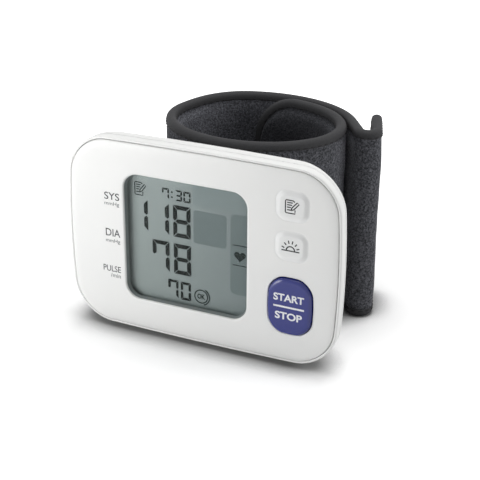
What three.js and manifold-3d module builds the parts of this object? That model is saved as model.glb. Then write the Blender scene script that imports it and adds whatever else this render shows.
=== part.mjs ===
// Wrist blood pressure monitor: a slim display unit carried on a wrap-round cuff.
// Millimetres. The user looks along +Y at the display, +X is to the right and +Z is up.
// The monitor stands on the lower edge of its cuff, with the origin below its middle.

import * as THREE from 'three';
import { mergeVertices } from 'three/addons/utils/BufferGeometryUtils.js';
import Module from 'manifold-3d';

const wasm = await Module();
wasm.setup();

// Fits
const CLEARANCE = 0.3;
const OVERCUT = 1;

// Display unit, measured across its face
const BODY_WIDTH = 91;
const BODY_HEIGHT = 63.4;
const BODY_CORNER = 12.8;
const SIDE_BOW = 1.7;
const TOP_BOW = 0.6;
const BODY_LIFT = 1.3;
const FACE_WALL = 1.5;
const FACE_ROLL = 0.45;
const RIM_WIDTH = 0.7;
const RIM_STEP = 0.45;
const FRAME_WALL = 2.3;
const PARTING_Y = 3.3;
const SKIRT_WALL = 1.2;
const REAR_Y = 12.4;
const REAR_WALL = 1.4;
// Share of the rear case's depth, and how far it is drawn in there at the sides and at top and bottom
const REAR_TAPER = [[0.45, 0.6, 0], [0.7, 4, 0.9], [0.88, 9.5, 3.4], [1, 16, 7.5]];

// Display window and glass
const WINDOW_LEFT_MARGIN = 20;
const WINDOW_RIGHT_MARGIN = 29.7;
const WINDOW_END_MARGIN = 10.9;
const WINDOW_CORNER = 4.9;
const WINDOW_CHAMFER = 0.4;
const LENS_LAP = 1.3;
const LENS_THICKNESS = 1;
const LCD_LAP = 0.6;
const LCD_THICKNESS = 1.6;
const HOLDER_WALL = 1.4;
const ZEBRA_HEIGHT = 2.4;
const ZEBRA_MARGIN = 4;

// Buttons, in a column to the right of the window
const BUTTON_RIGHT_MARGIN = 8.4;
const BUTTON_TRAVEL = 0.6;
const BUTTON_FLANGE = 0.9;
const BUTTON_FLANGE_DEPTH = 0.6;
const START_FOOT = 10.3;
const START_WIDTH = 14;
const START_CORNER = 4.6;
const START_BOW = 0.7;
const START_PROUD = 1;
const START_EDGE = 0.55;
const KEY_WIDTH = 10.4;
const KEY_HEIGHT = 9.9;
const KEY_HEAD = 6.9;
const KEY_CORNER = 3.7;
const KEY_PROUD = 0.9;
const KEY_EDGE = 1.1;
const START_KEY_GAP = 5.3;
const KEY_PITCH_GAP = 2.9;
const SWITCH_SIZE = 6;
const SWITCH_PLUNGER_RADIUS = 1.4;
const SWITCH_PLUNGER = 0.7;

// Circuit board and air system
const BOARD_THICKNESS = 1;
const SENSOR_SIZE = 7;
const SENSOR_DEPTH = 2.8;
const VALVE_WIDTH = 12;
const VALVE_HEIGHT = 8;
const VALVE_DEPTH = 3.4;
const PUMP_DIAMETER = 9.6;
const PUMP_MOTOR_LENGTH = 18;
const PUMP_HEAD_LENGTH = 8;
const PUMP_FOOT = 6.5;
const TUBE_RADIUS = 1.3;
const NIPPLE_RADIUS = 1.8;
const NIPPLE_BORE = 0.8;
const NIPPLE_FLANGE = 3.4;
const NIPPLE_FLANGE_DEPTH = 0.8;

// Batteries (two AAA cells side by side) and their bay
const BATTERY_DIAMETER = 10.5;
const BATTERY_LENGTH = 44.5;
const BATTERY_NUB_RADIUS = 1.9;
const BATTERY_NUB = 0.9;
const CONTACT_ROOM = 2.4;
const CONTACT_WIDTH = 7;
const CONTACT_PLATE = 0.4;
const BAY_EDGE = 1.05;
const BAY_DROP = 1;
const BAY_WALL = 1.3;
const BAY_FLOOR = 0.8;
const COVER_THICKNESS = 1.4;
const COVER_TONGUE = 0.7;
const COVER_RIDGES = 4;
const COVER_RIDGE_PITCH = 2.2;
const COVER_RIDGE_LENGTH = 16;
const COVER_RIDGE_HEIGHT = 0.4;
const LOBE_CORNER = 4;
const LOBE_ROUND = 1.4;
const PUMP_LOBE_ROUND = 2.8;
const LOBE_CUFF_GAP = 0.8;

// Screws
const SCREW_RADIUS = 1;
const SCREW_HEAD_RADIUS = 1.9;
const SCREW_HEAD = 1.3;
const SCREW_SEAT = 1.8;
const BOSS_RADIUS = 2.5;
const SCREW_DROP = 4.6;
const LEFT_SCREW_GAP = 5.4;
const RIGHT_SCREW_GAP = 2.1;

// Saddle that joins the unit to the cuff
const SADDLE_WIDTH = 28;
const SADDLE_HEIGHT = 50;
const SADDLE_CORNER = 5;
const SADDLE_LEAST = 0.93;
const SADDLE_RISE = 4;
const SADDLE_SCREW_X = 10;
const SADDLE_SCREW_Z = 18;
const SADDLE_SCREW_GRIP = 1.2;

// Cuff: an oval ring whose free end laps over the flap and leaves it as a pull tail
const CUFF_HEIGHT = 64;
const RING_X = 1.3;
const RING_HALF_WIDTH = 27.1;
const RING_HALF_DEPTH = 22.5;
const FABRIC = 1;
const CURLER = 0.6;
const BLADDER = 0.9;
const LINING = 0.6;
const TAIL_THICKNESS = 3;
const LAP_GAP = 0.9;
const FLAP_ANGLE = 110;
const LAP_START_ANGLE = 170;
const LAP_END_ANGLE = 116;
const HINGE_ANGLE = 174;
const LEAVE_ANGLE = 28;
const TAIL_RUN = 10.25;
const TAIL_RADIUS = 2.8;
const TAIL_TURN = 166;
const TAIL_END = 17.5;
const FLAP_CORNER = 14;
const TAIL_CORNER = 5;
const BINDING_WIDTH = 3.4;
const BINDING_ROUND = 1.2;
const BLADDER_MARGIN = 12;

// Fineness of the facets
const CORNER_STEPS = 5;
const SIDE_STEPS = 4;
const ROUND_STEPS = 16;
const CUFF_STEP = 3.2;
const TAIL_STEP = 1.5;
const DEGREE = Math.PI / 180;

// Solids: three.js geometry in, cut or joined geometry out
function solidOf(geometry) {
  const bare = new THREE.BufferGeometry();
  bare.setAttribute('position', geometry.getAttribute('position'));
  bare.setIndex(geometry.getIndex());
  const merged = mergeVertices(bare);
  return new wasm.Manifold(new wasm.Mesh({
    numProp: 3,
    vertProperties: new Float32Array(merged.getAttribute('position').array),
    triVerts: new Uint32Array(merged.getIndex().array),
  }));
}

function geometryOf(solid) {
  const mesh = solid.getMesh();
  const geometry = new THREE.BufferGeometry();
  geometry.setAttribute('position', new THREE.BufferAttribute(mesh.vertProperties, 3));
  geometry.setIndex(new THREE.BufferAttribute(mesh.triVerts, 1));
  return geometry;
}

function join(...geometries) {
  return geometryOf(geometries.map(solidOf).reduce((sum, solid) => sum.add(solid)));
}

function cut(geometry, ...tools) {
  return geometryOf(tools.map(solidOf).reduce((rest, tool) => rest.subtract(tool), solidOf(geometry)));
}

function common(geometry, other) {
  return geometryOf(solidOf(geometry).intersect(solidOf(other)));
}

// A closed skin over rings of equal length; each ring runs anticlockwise as seen along the loft
function loft(rings) {
  const count = rings[0].length;
  const points = rings.flat();
  const triangles = [];
  for (let ring = 0; ring < rings.length - 1; ring += 1) {
    for (let i = 0; i < count; i += 1) {
      const a = ring * count + i;
      const b = ring * count + (i + 1) % count;
      triangles.push(a, a + count, b, b, a + count, b + count);
    }
  }
  const last = (rings.length - 1) * count;
  for (let i = 1; i < count - 1; i += 1) {
    triangles.push(0, i, i + 1, last, last + i + 1, last + i);
  }
  const geometry = new THREE.BufferGeometry().setFromPoints(points);
  geometry.setIndex(triangles);
  return geometry;
}

// Rounded rectangle in the X-Z plane about its middle, with sides that may bow outwards
function outline(width, height, radius, bowX = 0, bowZ = 0) {
  const halfX = width / 2;
  const halfZ = height / 2;
  const corners = [[1, 1], [-1, 1], [-1, -1], [1, -1]];
  const arcs = corners.flatMap(([sideX, sideZ], corner) => {
    const arc = [];
    for (let step = 0; step <= CORNER_STEPS; step += 1) {
      const angle = (corner + step / CORNER_STEPS) * 90 * DEGREE;
      arc.push(new THREE.Vector2(
        sideX * (halfX - radius) + radius * Math.cos(angle),
        sideZ * (halfZ - radius) + radius * Math.sin(angle),
      ));
    }
    return arc;
  });
  if (bowX === 0 && bowZ === 0) {
    return arcs;
  }
  const points = arcs.flatMap((point, i) => {
    if (i % (CORNER_STEPS + 1) !== CORNER_STEPS) {
      return [point];
    }
    const next = arcs[(i + 1) % arcs.length];
    const side = [];
    for (let step = 0; step < SIDE_STEPS; step += 1) {
      side.push(point.clone().lerp(next, step / SIDE_STEPS));
    }
    return side;
  });
  return points.map(({ x, y }) => new THREE.Vector2(
    x * (1 - (bowX / halfX) * (y / halfZ) ** 2),
    y * (1 - (bowZ / halfZ) * (x / halfX) ** 2),
  ));
}

function ringAt(points, y, x = 0, z = 0) {
  return points.map((point) => new THREE.Vector3(point.x + x, y, point.y + z));
}

// The unit's own outline, drawn in from its sides and from its top and bottom
function bodyRing(y, insetX, insetZ = insetX) {
  const width = BODY_WIDTH - 2 * insetX;
  const height = BODY_HEIGHT - 2 * insetZ;
  const radius = BODY_CORNER - Math.min(insetX, insetZ);
  return ringAt(outline(width, height, radius, SIDE_BOW, TOP_BOW), y);
}

function plate(points, fromY, toY, x = 0, z = 0) {
  const shape = new THREE.Shape(points);
  const geometry = new THREE.ExtrudeGeometry(shape, { depth: toY - fromY, bevelEnabled: false });
  const bare = geometry.rotateX(90 * DEGREE).translate(x, toY, z);
  return mergeVertices(new THREE.BufferGeometry().setAttribute('position', bare.getAttribute('position')));
}

function rod(radius, fromY, toY, x, z, radiusAtTo = radius) {
  const length = toY - fromY;
  const geometry = new THREE.CylinderGeometry(radiusAtTo, radius, length, ROUND_STEPS);
  return geometry.translate(x, (fromY + toY) / 2, z);
}

function upright(radius, fromZ, toZ, x, y) {
  const geometry = new THREE.CylinderGeometry(radius, radius, toZ - fromZ, ROUND_STEPS);
  return geometry.rotateX(90 * DEGREE).translate(x, y, (fromZ + toZ) / 2);
}

function block(fromX, toX, fromY, toY, fromZ, toZ) {
  const geometry = new THREE.BoxGeometry(toX - fromX, toY - fromY, toZ - fromZ);
  return geometry.translate((fromX + toX) / 2, (fromY + toY) / 2, (fromZ + toZ) / 2);
}

function tube(points, radius) {
  const path = new THREE.CatmullRomCurve3(points.map((point) => new THREE.Vector3(...point)));
  const section = new THREE.Shape().absarc(0, 0, radius, 0, 2 * Math.PI);
  return new THREE.ExtrudeGeometry(section, { extrudePath: path, steps: 12, curveSegments: 4 });
}

// Materials and the assembly
const monitor = new THREE.Group();
const unit = new THREE.Group();
const cuff = new THREE.Group();
monitor.add(unit, cuff);
unit.position.z = BODY_LIFT + BODY_HEIGHT / 2;

function finish(color, roughness, metalness = 0) {
  return { color, roughness, metalness };
}

const WHITE_PLASTIC = finish(0xf2f3f4, 0.42);
const WHITE_RUBBER = finish(0xeef0f1, 0.6);
const BLUE_PLASTIC = finish(0x2f3a86, 0.4);
const CLEAR_PLASTIC = finish(0xdfe6e6, 0.08);
const LCD_GREY = finish(0x8a9291, 0.3);
const GREY_PLASTIC = finish(0xb9bcbe, 0.5);
const BLACK_RUBBER = finish(0x202224, 0.7);
const BOARD_GREEN = finish(0x1f5a3a, 0.5);
const STEEL = finish(0xb7babd, 0.35, 1);
const SILICONE = finish(0xd9dad6, 0.5);
const CELL_SLEEVE = finish(0x2b2d30, 0.35);
const CLEAR_SHEET = finish(0xc9ced1, 0.3);
const BLADDER_FILM = finish(0x8d9296, 0.45);
const LOOP_CLOTH = finish(0x37383b, 0.95);
const LINING_CLOTH = finish(0x3c3d40, 0.95);
const BINDING_TAPE = finish(0x3a3b3d, 0.8);

function add(group, name, geometry, look) {
  const mesh = new THREE.Mesh(geometry, new THREE.MeshStandardMaterial(look));
  mesh.name = name;
  group.add(mesh);
}

// Depths through the stack, from the face back
const lensY = FACE_WALL + CLEARANCE;
const lcdY = lensY + LENS_THICKNESS + CLEARANCE;
const holderBack = lcdY + LCD_THICKNESS + 2 * CLEARANCE;
const boardY = holderBack + CLEARANCE;
const boardBack = boardY + BOARD_THICKNESS;
const rearStart = PARTING_Y + CLEARANCE;
const ledgeY = FACE_WALL + CLEARANCE;
const skirtInset = FRAME_WALL + CLEARANCE;

// Window and button places on the face
const windowWidth = BODY_WIDTH - WINDOW_LEFT_MARGIN - WINDOW_RIGHT_MARGIN;
const windowHeight = BODY_HEIGHT - 2 * WINDOW_END_MARGIN;
const windowX = (WINDOW_LEFT_MARGIN - WINDOW_RIGHT_MARGIN) / 2;
const buttonX = BODY_WIDTH / 2 - BUTTON_RIGHT_MARGIN - START_WIDTH / 2;
const memoryZ = BODY_HEIGHT / 2 - KEY_HEAD - KEY_HEIGHT / 2;
const morningZ = memoryZ - KEY_HEIGHT - KEY_PITCH_GAP;
const startTop = morningZ - KEY_HEIGHT / 2 - START_KEY_GAP;
const startHeight = startTop + BODY_HEIGHT / 2 - START_FOOT;
const startZ = startTop - startHeight / 2;

// Battery bay
const bayWidth = 2 * BATTERY_DIAMETER + 3 * CLEARANCE;
const bayLength = BATTERY_LENGTH + 2 * CONTACT_ROOM;
const lobeWidth = bayWidth + 2 * BAY_WALL;
const lobeLength = bayLength + 2 * (BAY_WALL + COVER_TONGUE);
const lobeLeft = -BODY_WIDTH / 2 + BAY_EDGE;
const lobeRight = lobeLeft + lobeWidth;
const bayX = lobeLeft + lobeWidth / 2;
const bayFloorY = boardY;
const cellY = bayFloorY + BAY_FLOOR + CLEARANCE + BATTERY_DIAMETER / 2;
const coverY = cellY + BATTERY_DIAMETER / 2 + CLEARANCE;
const lobeBack = coverY + COVER_THICKNESS;

// Pump lobe
const pumpX = buttonX - 1;
const pumpY = boardBack + CLEARANCE + PUMP_DIAMETER / 2;
const pumpFootZ = -BODY_HEIGHT / 2 + PUMP_FOOT;
const pumpHeadZ = pumpFootZ + PUMP_MOTOR_LENGTH + CLEARANCE;
const pumpTopZ = pumpHeadZ + PUMP_HEAD_LENGTH;
const pumpRoomHalf = PUMP_DIAMETER / 2 + 2 * CLEARANCE;
const pumpLobeHalf = pumpRoomHalf + REAR_WALL;
const pumpBack = pumpY + pumpRoomHalf;
const pumpLobeBack = pumpBack + REAR_WALL;

// Case screws: above and below the display, beside the battery lobe and beside the buttons
const screwZ = BODY_HEIGHT / 2 - SCREW_DROP;
const leftScrewX = lobeRight + LEFT_SCREW_GAP;
const rightScrewX = buttonX - START_WIDTH / 2 - RIGHT_SCREW_GAP;
const caseScrews = [leftScrewX, rightScrewX].flatMap((x) => [[x, screwZ], [x, -screwZ]]);
const pilotRadius = SCREW_RADIUS + CLEARANCE;
const headHoleRadius = SCREW_HEAD_RADIUS + CLEARANCE;
const rearBossRadius = headHoleRadius + REAR_WALL;
const bossBack = holderBack;
const seatY = bossBack + CLEARANCE;
const headY = seatY + SCREW_SEAT + CLEARANCE;

// Cuff layers, measured outwards from the middle of the cuff's thickness
const cuffThickness = FABRIC + CURLER + BLADDER + LINING + 3 * CLEARANCE;
const cuffOut = cuffThickness / 2;
const fabricIn = cuffOut - FABRIC;
const curlerOut = fabricIn - CLEARANCE;
const curlerIn = curlerOut - CURLER;
const bladderOut = curlerIn - CLEARANCE;
const bladderIn = bladderOut - BLADDER;
const liningOut = bladderIn - CLEARANCE;
const padOut = fabricIn - CLEARANCE;
const saddleY = REAR_Y + CLEARANCE;

// The ring sits as near to the unit as the saddle and both lobes let it
function ringBehind(edgeX, backY) {
  const offCentre = (edgeX - RING_X) / (RING_HALF_WIDTH + cuffOut);
  return backY + LOBE_CUFF_GAP + (RING_HALF_DEPTH + cuffOut) * Math.sqrt(1 - offCentre ** 2);
}

const ringY = Math.max(
  saddleY + SADDLE_LEAST + CLEARANCE + cuffOut + RING_HALF_DEPTH,
  ringBehind(lobeRight, lobeBack),
  ringBehind(pumpX - pumpLobeHalf, pumpLobeBack),
);
const ringFrontY = ringY - RING_HALF_DEPTH;

function buttonLook(width, height, radius, bow, grow) {
  return outline(width + 2 * grow, height + 2 * grow, radius + grow, bow, bow);
}

const startOutline = (grow) => buttonLook(START_WIDTH, startHeight, START_CORNER, START_BOW, grow);
const keyOutline = (grow) => buttonLook(KEY_WIDTH, KEY_HEIGHT, KEY_CORNER, 0, grow);
const buttons = [
  { name: 'start', z: startZ, shape: startOutline, proud: START_PROUD, edge: START_EDGE, look: BLUE_PLASTIC },
  { name: 'morning', z: morningZ, shape: keyOutline, proud: KEY_PROUD, edge: KEY_EDGE, look: WHITE_RUBBER },
  { name: 'memory', z: memoryZ, shape: keyOutline, proud: KEY_PROUD, edge: KEY_EDGE, look: WHITE_RUBBER },
];

function windowOutline(grow) {
  return outline(windowWidth + 2 * grow, windowHeight + 2 * grow, WINDOW_CORNER + grow);
}

// Front cover: the crowned face with its openings, a skirt inside the frame and four screw bosses
function frontCover() {
  const faceInset = RIM_WIDTH + CLEARANCE;
  const shell = loft([
    bodyRing(0, faceInset + 4 * FACE_ROLL),
    bodyRing(FACE_ROLL / 4, faceInset + FACE_ROLL),
    bodyRing(FACE_ROLL, faceInset),
    bodyRing(FACE_WALL, faceInset),
    bodyRing(FACE_WALL, skirtInset),
    bodyRing(bossBack, skirtInset),
  ]);
  const hollow = loft([
    bodyRing(FACE_WALL, skirtInset + SKIRT_WALL),
    bodyRing(bossBack + OVERCUT, skirtInset + SKIRT_WALL),
  ]);
  const inside = loft([bodyRing(0, skirtInset), bodyRing(bossBack, skirtInset)]);
  const bosses = caseScrews.map(([x, z]) => common(rod(BOSS_RADIUS, FACE_WALL / 2, bossBack, x, z), inside));
  const pilots = caseScrews.map(([x, z]) => rod(pilotRadius, FACE_WALL, bossBack + OVERCUT, x, z));
  const window = plate(windowOutline(0), -OVERCUT, FACE_WALL + OVERCUT, windowX);
  const chamfer = loft([
    ringAt(windowOutline(2 * WINDOW_CHAMFER), -WINDOW_CHAMFER, windowX),
    ringAt(windowOutline(0), WINDOW_CHAMFER, windowX),
  ]);
  const holes = buttons.map(
    ({ shape, z }) => plate(shape(CLEARANCE), -OVERCUT, FACE_WALL + OVERCUT, buttonX, z));
  return cut(join(cut(shell, hollow), ...bosses), ...pilots, window, chamfer, ...holes);
}

// Side frame: the ring seen round the face, with a ledge that carries the front cover
function sideFrame() {
  const outside = loft([
    bodyRing(RIM_STEP, RIM_STEP / 2),
    bodyRing(2 * RIM_STEP, 0),
    bodyRing(PARTING_Y, 0),
  ]);
  const lip = loft([bodyRing(-OVERCUT, RIM_WIDTH), bodyRing(ledgeY, RIM_WIDTH)]);
  const bore = loft([bodyRing(0, FRAME_WALL), bodyRing(PARTING_Y + OVERCUT, FRAME_WALL)]);
  return cut(outside, lip, bore);
}

// Rear case: a shell that tapers at both ends, with a battery lobe and a pump lobe beside the cuff
function rearShell(wall) {
  const back = REAR_TAPER.map(([share, sideInset, endInset]) => bodyRing(
    Math.min(share * REAR_Y, REAR_Y - wall), wall + sideInset, wall + endInset));
  return [bodyRing(rearStart - (wall > 0 ? OVERCUT : 0), wall), ...back];
}

function lobe(width, height, round, fromY, toY, x, z) {
  const ring = (y, inset) => ringAt(
    outline(width - 2 * inset, height - 2 * inset, LOBE_CORNER - inset / 2), y, x, z);
  const rings = [ring(fromY, 0)];
  for (let step = 0; step <= SIDE_STEPS; step += 1) {
    const angle = (step / SIDE_STEPS) * 90 * DEGREE;
    rings.push(ring(toY - round * (1 - Math.sin(angle)), round * (1 - Math.cos(angle))));
  }
  return loft(rings);
}

function bayBlock(fromX, toX, fromY, toY, halfZ) {
  return block(fromX, toX, fromY, toY, -BAY_DROP - halfZ, -BAY_DROP + halfZ);
}

function rearCase() {
  const pumpZ = (pumpFootZ + pumpTopZ) / 2;
  const pumpHalfZ = (pumpTopZ - pumpFootZ) / 2 + 2 * CLEARANCE;
  const pumpHeight = 2 * (pumpHalfZ + REAR_WALL);
  const batteryLobe = lobe(lobeWidth, lobeLength, LOBE_ROUND, bayFloorY, lobeBack, bayX, -BAY_DROP);
  const pumpLobe = lobe(
    2 * pumpLobeHalf, pumpHeight, PUMP_LOBE_ROUND, boardBack, pumpLobeBack, pumpX, pumpZ);
  const outside = join(loft(rearShell(0)), batteryLobe, pumpLobe);
  const bayRoom = bayBlock(-BODY_WIDTH, lobeRight, bayFloorY, REAR_Y + OVERCUT, lobeLength / 2);
  const room = cut(loft(rearShell(REAR_WALL)), bayRoom);
  const pumpRoom = block(
    pumpX - pumpRoomHalf, pumpX + pumpRoomHalf, boardBack, pumpBack, pumpZ - pumpHalfZ, pumpZ + pumpHalfZ);
  const bosses = caseScrews.map(([x, z]) => common(rod(rearBossRadius, seatY, REAR_Y, x, z), outside));
  const shell = join(cut(outside, room, pumpRoom), ...bosses);
  const screwHoles = caseScrews.flatMap(([x, z]) => [
    rod(pilotRadius, seatY - OVERCUT, seatY + SCREW_SEAT + OVERCUT, x, z),
    rod(headHoleRadius, seatY + SCREW_SEAT, REAR_Y + OVERCUT, x, z),
  ]);
  const bay = bayBlock(
    bayX - bayWidth / 2, bayX + bayWidth / 2, bayFloorY + BAY_FLOOR, lobeBack + OVERCUT, bayLength / 2);
  const coverRight = lobeRight - BAY_WALL / 2;
  const coverHalf = bayLength / 2 + CLEARANCE;
  const coverSeat = bayBlock(
    lobeLeft - OVERCUT, coverRight, coverY - CLEARANCE, lobeBack + OVERCUT, coverHalf);
  const grooveTop = coverY + COVER_TONGUE + CLEARANCE;
  const groove = bayBlock(
    lobeLeft - OVERCUT, coverRight, coverY - CLEARANCE, grooveTop, coverHalf + COVER_TONGUE);
  const saddleHoles = saddleScrews.map(([x, z]) => rod(pilotRadius, 0, REAR_Y + OVERCUT, x, z));
  const nippleHole = rod(NIPPLE_RADIUS + CLEARANCE, 0, REAR_Y + OVERCUT, RING_X, 0);
  return cut(shell, ...screwHoles, bay, coverSeat, groove, ...saddleHoles, nippleHole);
}

// Battery cover: slides off to the left on two tongues, with ridges for the thumb
function batteryCover() {
  const right = lobeRight - BAY_WALL / 2 - CLEARANCE;
  const skin = lobe(lobeWidth, lobeLength, LOBE_ROUND, coverY, lobeBack, bayX, -BAY_DROP);
  const panel = common(skin, bayBlock(lobeLeft - OVERCUT, right, coverY, lobeBack, bayLength / 2));
  const tongueHalf = bayLength / 2 + COVER_TONGUE;
  const tongue = common(skin, bayBlock(lobeLeft - OVERCUT, right, coverY, coverY + COVER_TONGUE, tongueHalf));
  const ridges = [];
  for (let i = 0; i < COVER_RIDGES; i += 1) {
    const x = bayX - bayWidth / 4 - (i - (COVER_RIDGES - 1) / 2) * COVER_RIDGE_PITCH;
    const half = COVER_RIDGE_PITCH / 5;
    const top = lobeBack + COVER_RIDGE_HEIGHT;
    ridges.push(bayBlock(x - half, x + half, coverY + COVER_TONGUE, top, COVER_RIDGE_LENGTH / 2));
  }
  return join(panel, tongue, ...ridges);
}

function battery() {
  const radius = BATTERY_DIAMETER / 2;
  const bottom = -BATTERY_LENGTH / 2;
  const shoulder = BATTERY_LENGTH / 2 - BATTERY_NUB;
  const profile = [
    [0, bottom], [radius - 0.5, bottom], [radius, bottom + 0.5], [radius, shoulder - 0.5],
    [radius - 0.5, shoulder], [BATTERY_NUB_RADIUS, shoulder], [BATTERY_NUB_RADIUS, shoulder + BATTERY_NUB],
    [0, shoulder + BATTERY_NUB],
  ];
  const points = profile.map(([r, z]) => new THREE.Vector2(r, z));
  return closedLathe(points);
}

// A revolve about Y whose seam and poles are welded
function closedLathe(points) {
  const turned = new THREE.LatheGeometry(points, ROUND_STEPS);
  const bare = new THREE.BufferGeometry();
  bare.setAttribute('position', turned.getAttribute('position'));
  bare.setIndex(turned.getIndex());
  return geometryOf(solidOf(bare));
}

// Battery contact: a plate on the end wall with a sprung tongue towards the cell
function contact(x, end) {
  const wall = bayLength / 2 - CLEARANCE;
  const tip = BATTERY_LENGTH / 2 + CLEARANCE;
  const half = CONTACT_WIDTH / 2;
  const strip = new THREE.Shape([
    new THREE.Vector2(-half, wall),
    new THREE.Vector2(-half, wall - CONTACT_PLATE),
    new THREE.Vector2(-half / 2, wall - CONTACT_PLATE),
    new THREE.Vector2(half / 4, tip),
    new THREE.Vector2(half / 4 + CONTACT_PLATE, tip),
    new THREE.Vector2(half / 2, wall - CONTACT_PLATE),
    new THREE.Vector2(half, wall - CONTACT_PLATE),
    new THREE.Vector2(half, wall),
  ]);
  const depth = CONTACT_WIDTH;
  const geometry = new THREE.ExtrudeGeometry(strip, { depth, bevelEnabled: false });
  geometry.rotateX(90 * DEGREE).translate(0, depth / 2, 0);
  if (end < 0) {
    geometry.rotateY(180 * DEGREE);
  }
  return geometry.translate(x, cellY, -BAY_DROP);
}

// Button: a soft-edged cap through the face with a flange that holds it in
function button({ shape, z, proud, edge }) {
  const ring = (y, grow) => ringAt(shape(grow), y, buttonX, z);
  return loft([
    ring(-proud, -2.4 * edge),
    ring(-proud + 0.12 * edge, -1.1 * edge),
    ring(-proud + 0.45 * edge, -0.3 * edge),
    ring(-proud + edge, 0),
    ring(lensY, 0),
    ring(lensY, BUTTON_FLANGE),
    ring(lensY + BUTTON_FLANGE_DEPTH, BUTTON_FLANGE),
  ]);
}

function tactSwitch(z) {
  const plungerTip = lensY + BUTTON_FLANGE_DEPTH + BUTTON_TRAVEL + CLEARANCE;
  const back = boardY - CLEARANCE;
  const front = plungerTip + SWITCH_PLUNGER;
  const half = SWITCH_SIZE / 2;
  const body = block(buttonX - half, buttonX + half, front, back, z - half, z + half);
  return join(body, rod(SWITCH_PLUNGER_RADIUS, plungerTip, front + SWITCH_PLUNGER / 2, buttonX, z));
}

function screw(x, z, headFrom, tipY) {
  const toward = Math.sign(headFrom - tipY);
  const seat = headFrom;
  const head = seat + toward * SCREW_HEAD;
  const [low, high] = [Math.min(seat, head), Math.max(seat, head)];
  const cap = rod(SCREW_HEAD_RADIUS, low, high, x, z);
  const shaftEnd = seat + toward * SCREW_HEAD / 2;
  return join(cap, rod(SCREW_RADIUS, Math.min(tipY, shaftEnd), Math.max(tipY, shaftEnd), x, z));
}

// Saddle: a shoe behind the case, hollowed to the curve of the cuff
const saddleScrews = [-1, 1].flatMap((sideX) => [-1, 1].map(
  (sideZ) => [RING_X + sideX * SADDLE_SCREW_X, sideZ * SADDLE_SCREW_Z]));

function saddle() {
  const reach = cuffOut + CLEARANCE;
  const shoe = plate(
    outline(SADDLE_WIDTH, SADDLE_HEIGHT, SADDLE_CORNER), saddleY, saddleY + SADDLE_RISE, RING_X);
  const oval = new THREE.Shape().absellipse(
    RING_X, -ringY, RING_HALF_WIDTH + reach, RING_HALF_DEPTH + reach, 0, 2 * Math.PI);
  const core = new THREE.ExtrudeGeometry(oval, {
    depth: CUFF_HEIGHT, bevelEnabled: false, curveSegments: 48 });
  core.rotateX(180 * DEGREE).translate(0, 0, CUFF_HEIGHT / 2);
  const pilots = saddleScrews.map(
    ([x, z]) => rod(pilotRadius, saddleY - OVERCUT, saddleY + SADDLE_SCREW_GRIP + CLEARANCE, x, z));
  const nippleHole = rod(NIPPLE_RADIUS + CLEARANCE, saddleY - OVERCUT, ringY, RING_X, 0);
  return cut(shoe, core, ...pilots, nippleHole);
}

function nipple() {
  const flangeY = REAR_Y - REAR_WALL - CLEARANCE - NIPPLE_FLANGE_DEPTH;
  const tip = ringFrontY - bladderOut - CLEARANCE;
  const profile = [
    [NIPPLE_BORE, flangeY], [NIPPLE_FLANGE, flangeY], [NIPPLE_FLANGE, flangeY + NIPPLE_FLANGE_DEPTH],
    [NIPPLE_RADIUS, flangeY + NIPPLE_FLANGE_DEPTH], [NIPPLE_RADIUS, tip], [NIPPLE_BORE, tip],
    [NIPPLE_BORE, flangeY],
  ];
  const points = profile.map(([r, y]) => new THREE.Vector2(r, y));
  return closedLathe(points).translate(RING_X, 0, 0);
}

// Front of the unit
add(unit, 'front_cover', frontCover(), WHITE_PLASTIC);
add(unit, 'side_frame', sideFrame(), WHITE_PLASTIC);
add(unit, 'rear_case', rearCase(), WHITE_PLASTIC);
const lensPlate = plate(windowOutline(LENS_LAP), lensY, lensY + LENS_THICKNESS, windowX);
add(unit, 'display_window', lensPlate, CLEAR_PLASTIC);
add(unit, 'lcd_panel', plate(windowOutline(LCD_LAP), lcdY, lcdY + LCD_THICKNESS, windowX), LCD_GREY);

const holderIn = LENS_LAP + CLEARANCE;
const holderFrame = plate(windowOutline(holderIn + HOLDER_WALL), lensY, holderBack, windowX);
const holderBore = plate(windowOutline(holderIn), 0, holderBack + OVERCUT, windowX);
add(unit, 'lcd_holder', cut(holderFrame, holderBore), GREY_PLASTIC);

const zebraHalf = windowWidth / 2 - ZEBRA_MARGIN;
const zebraZ = -windowHeight / 2 + ZEBRA_HEIGHT;
const boardLeft = lobeRight + CLEARANCE;
const boardRight = BODY_WIDTH / 2 - skirtInset - SKIRT_WALL - SIDE_BOW;
const boardHalf = screwZ - rearBossRadius - CLEARANCE;
add(unit, 'zebra_strip', block(
  Math.max(windowX - zebraHalf, boardLeft), windowX + zebraHalf,
  lcdY + LCD_THICKNESS + CLEARANCE / 2, boardY - CLEARANCE / 2,
  zebraZ - ZEBRA_HEIGHT / 2, zebraZ + ZEBRA_HEIGHT / 2), BLACK_RUBBER);
add(unit, 'main_board', block(boardLeft, boardRight, boardY, boardBack, -boardHalf, boardHalf), BOARD_GREEN);

buttons.forEach((spec) => {
  add(unit, `${spec.name}_button`, button(spec), spec.look);
  add(unit, `${spec.name}_switch`, tactSwitch(spec.z), GREY_PLASTIC);
});

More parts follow.
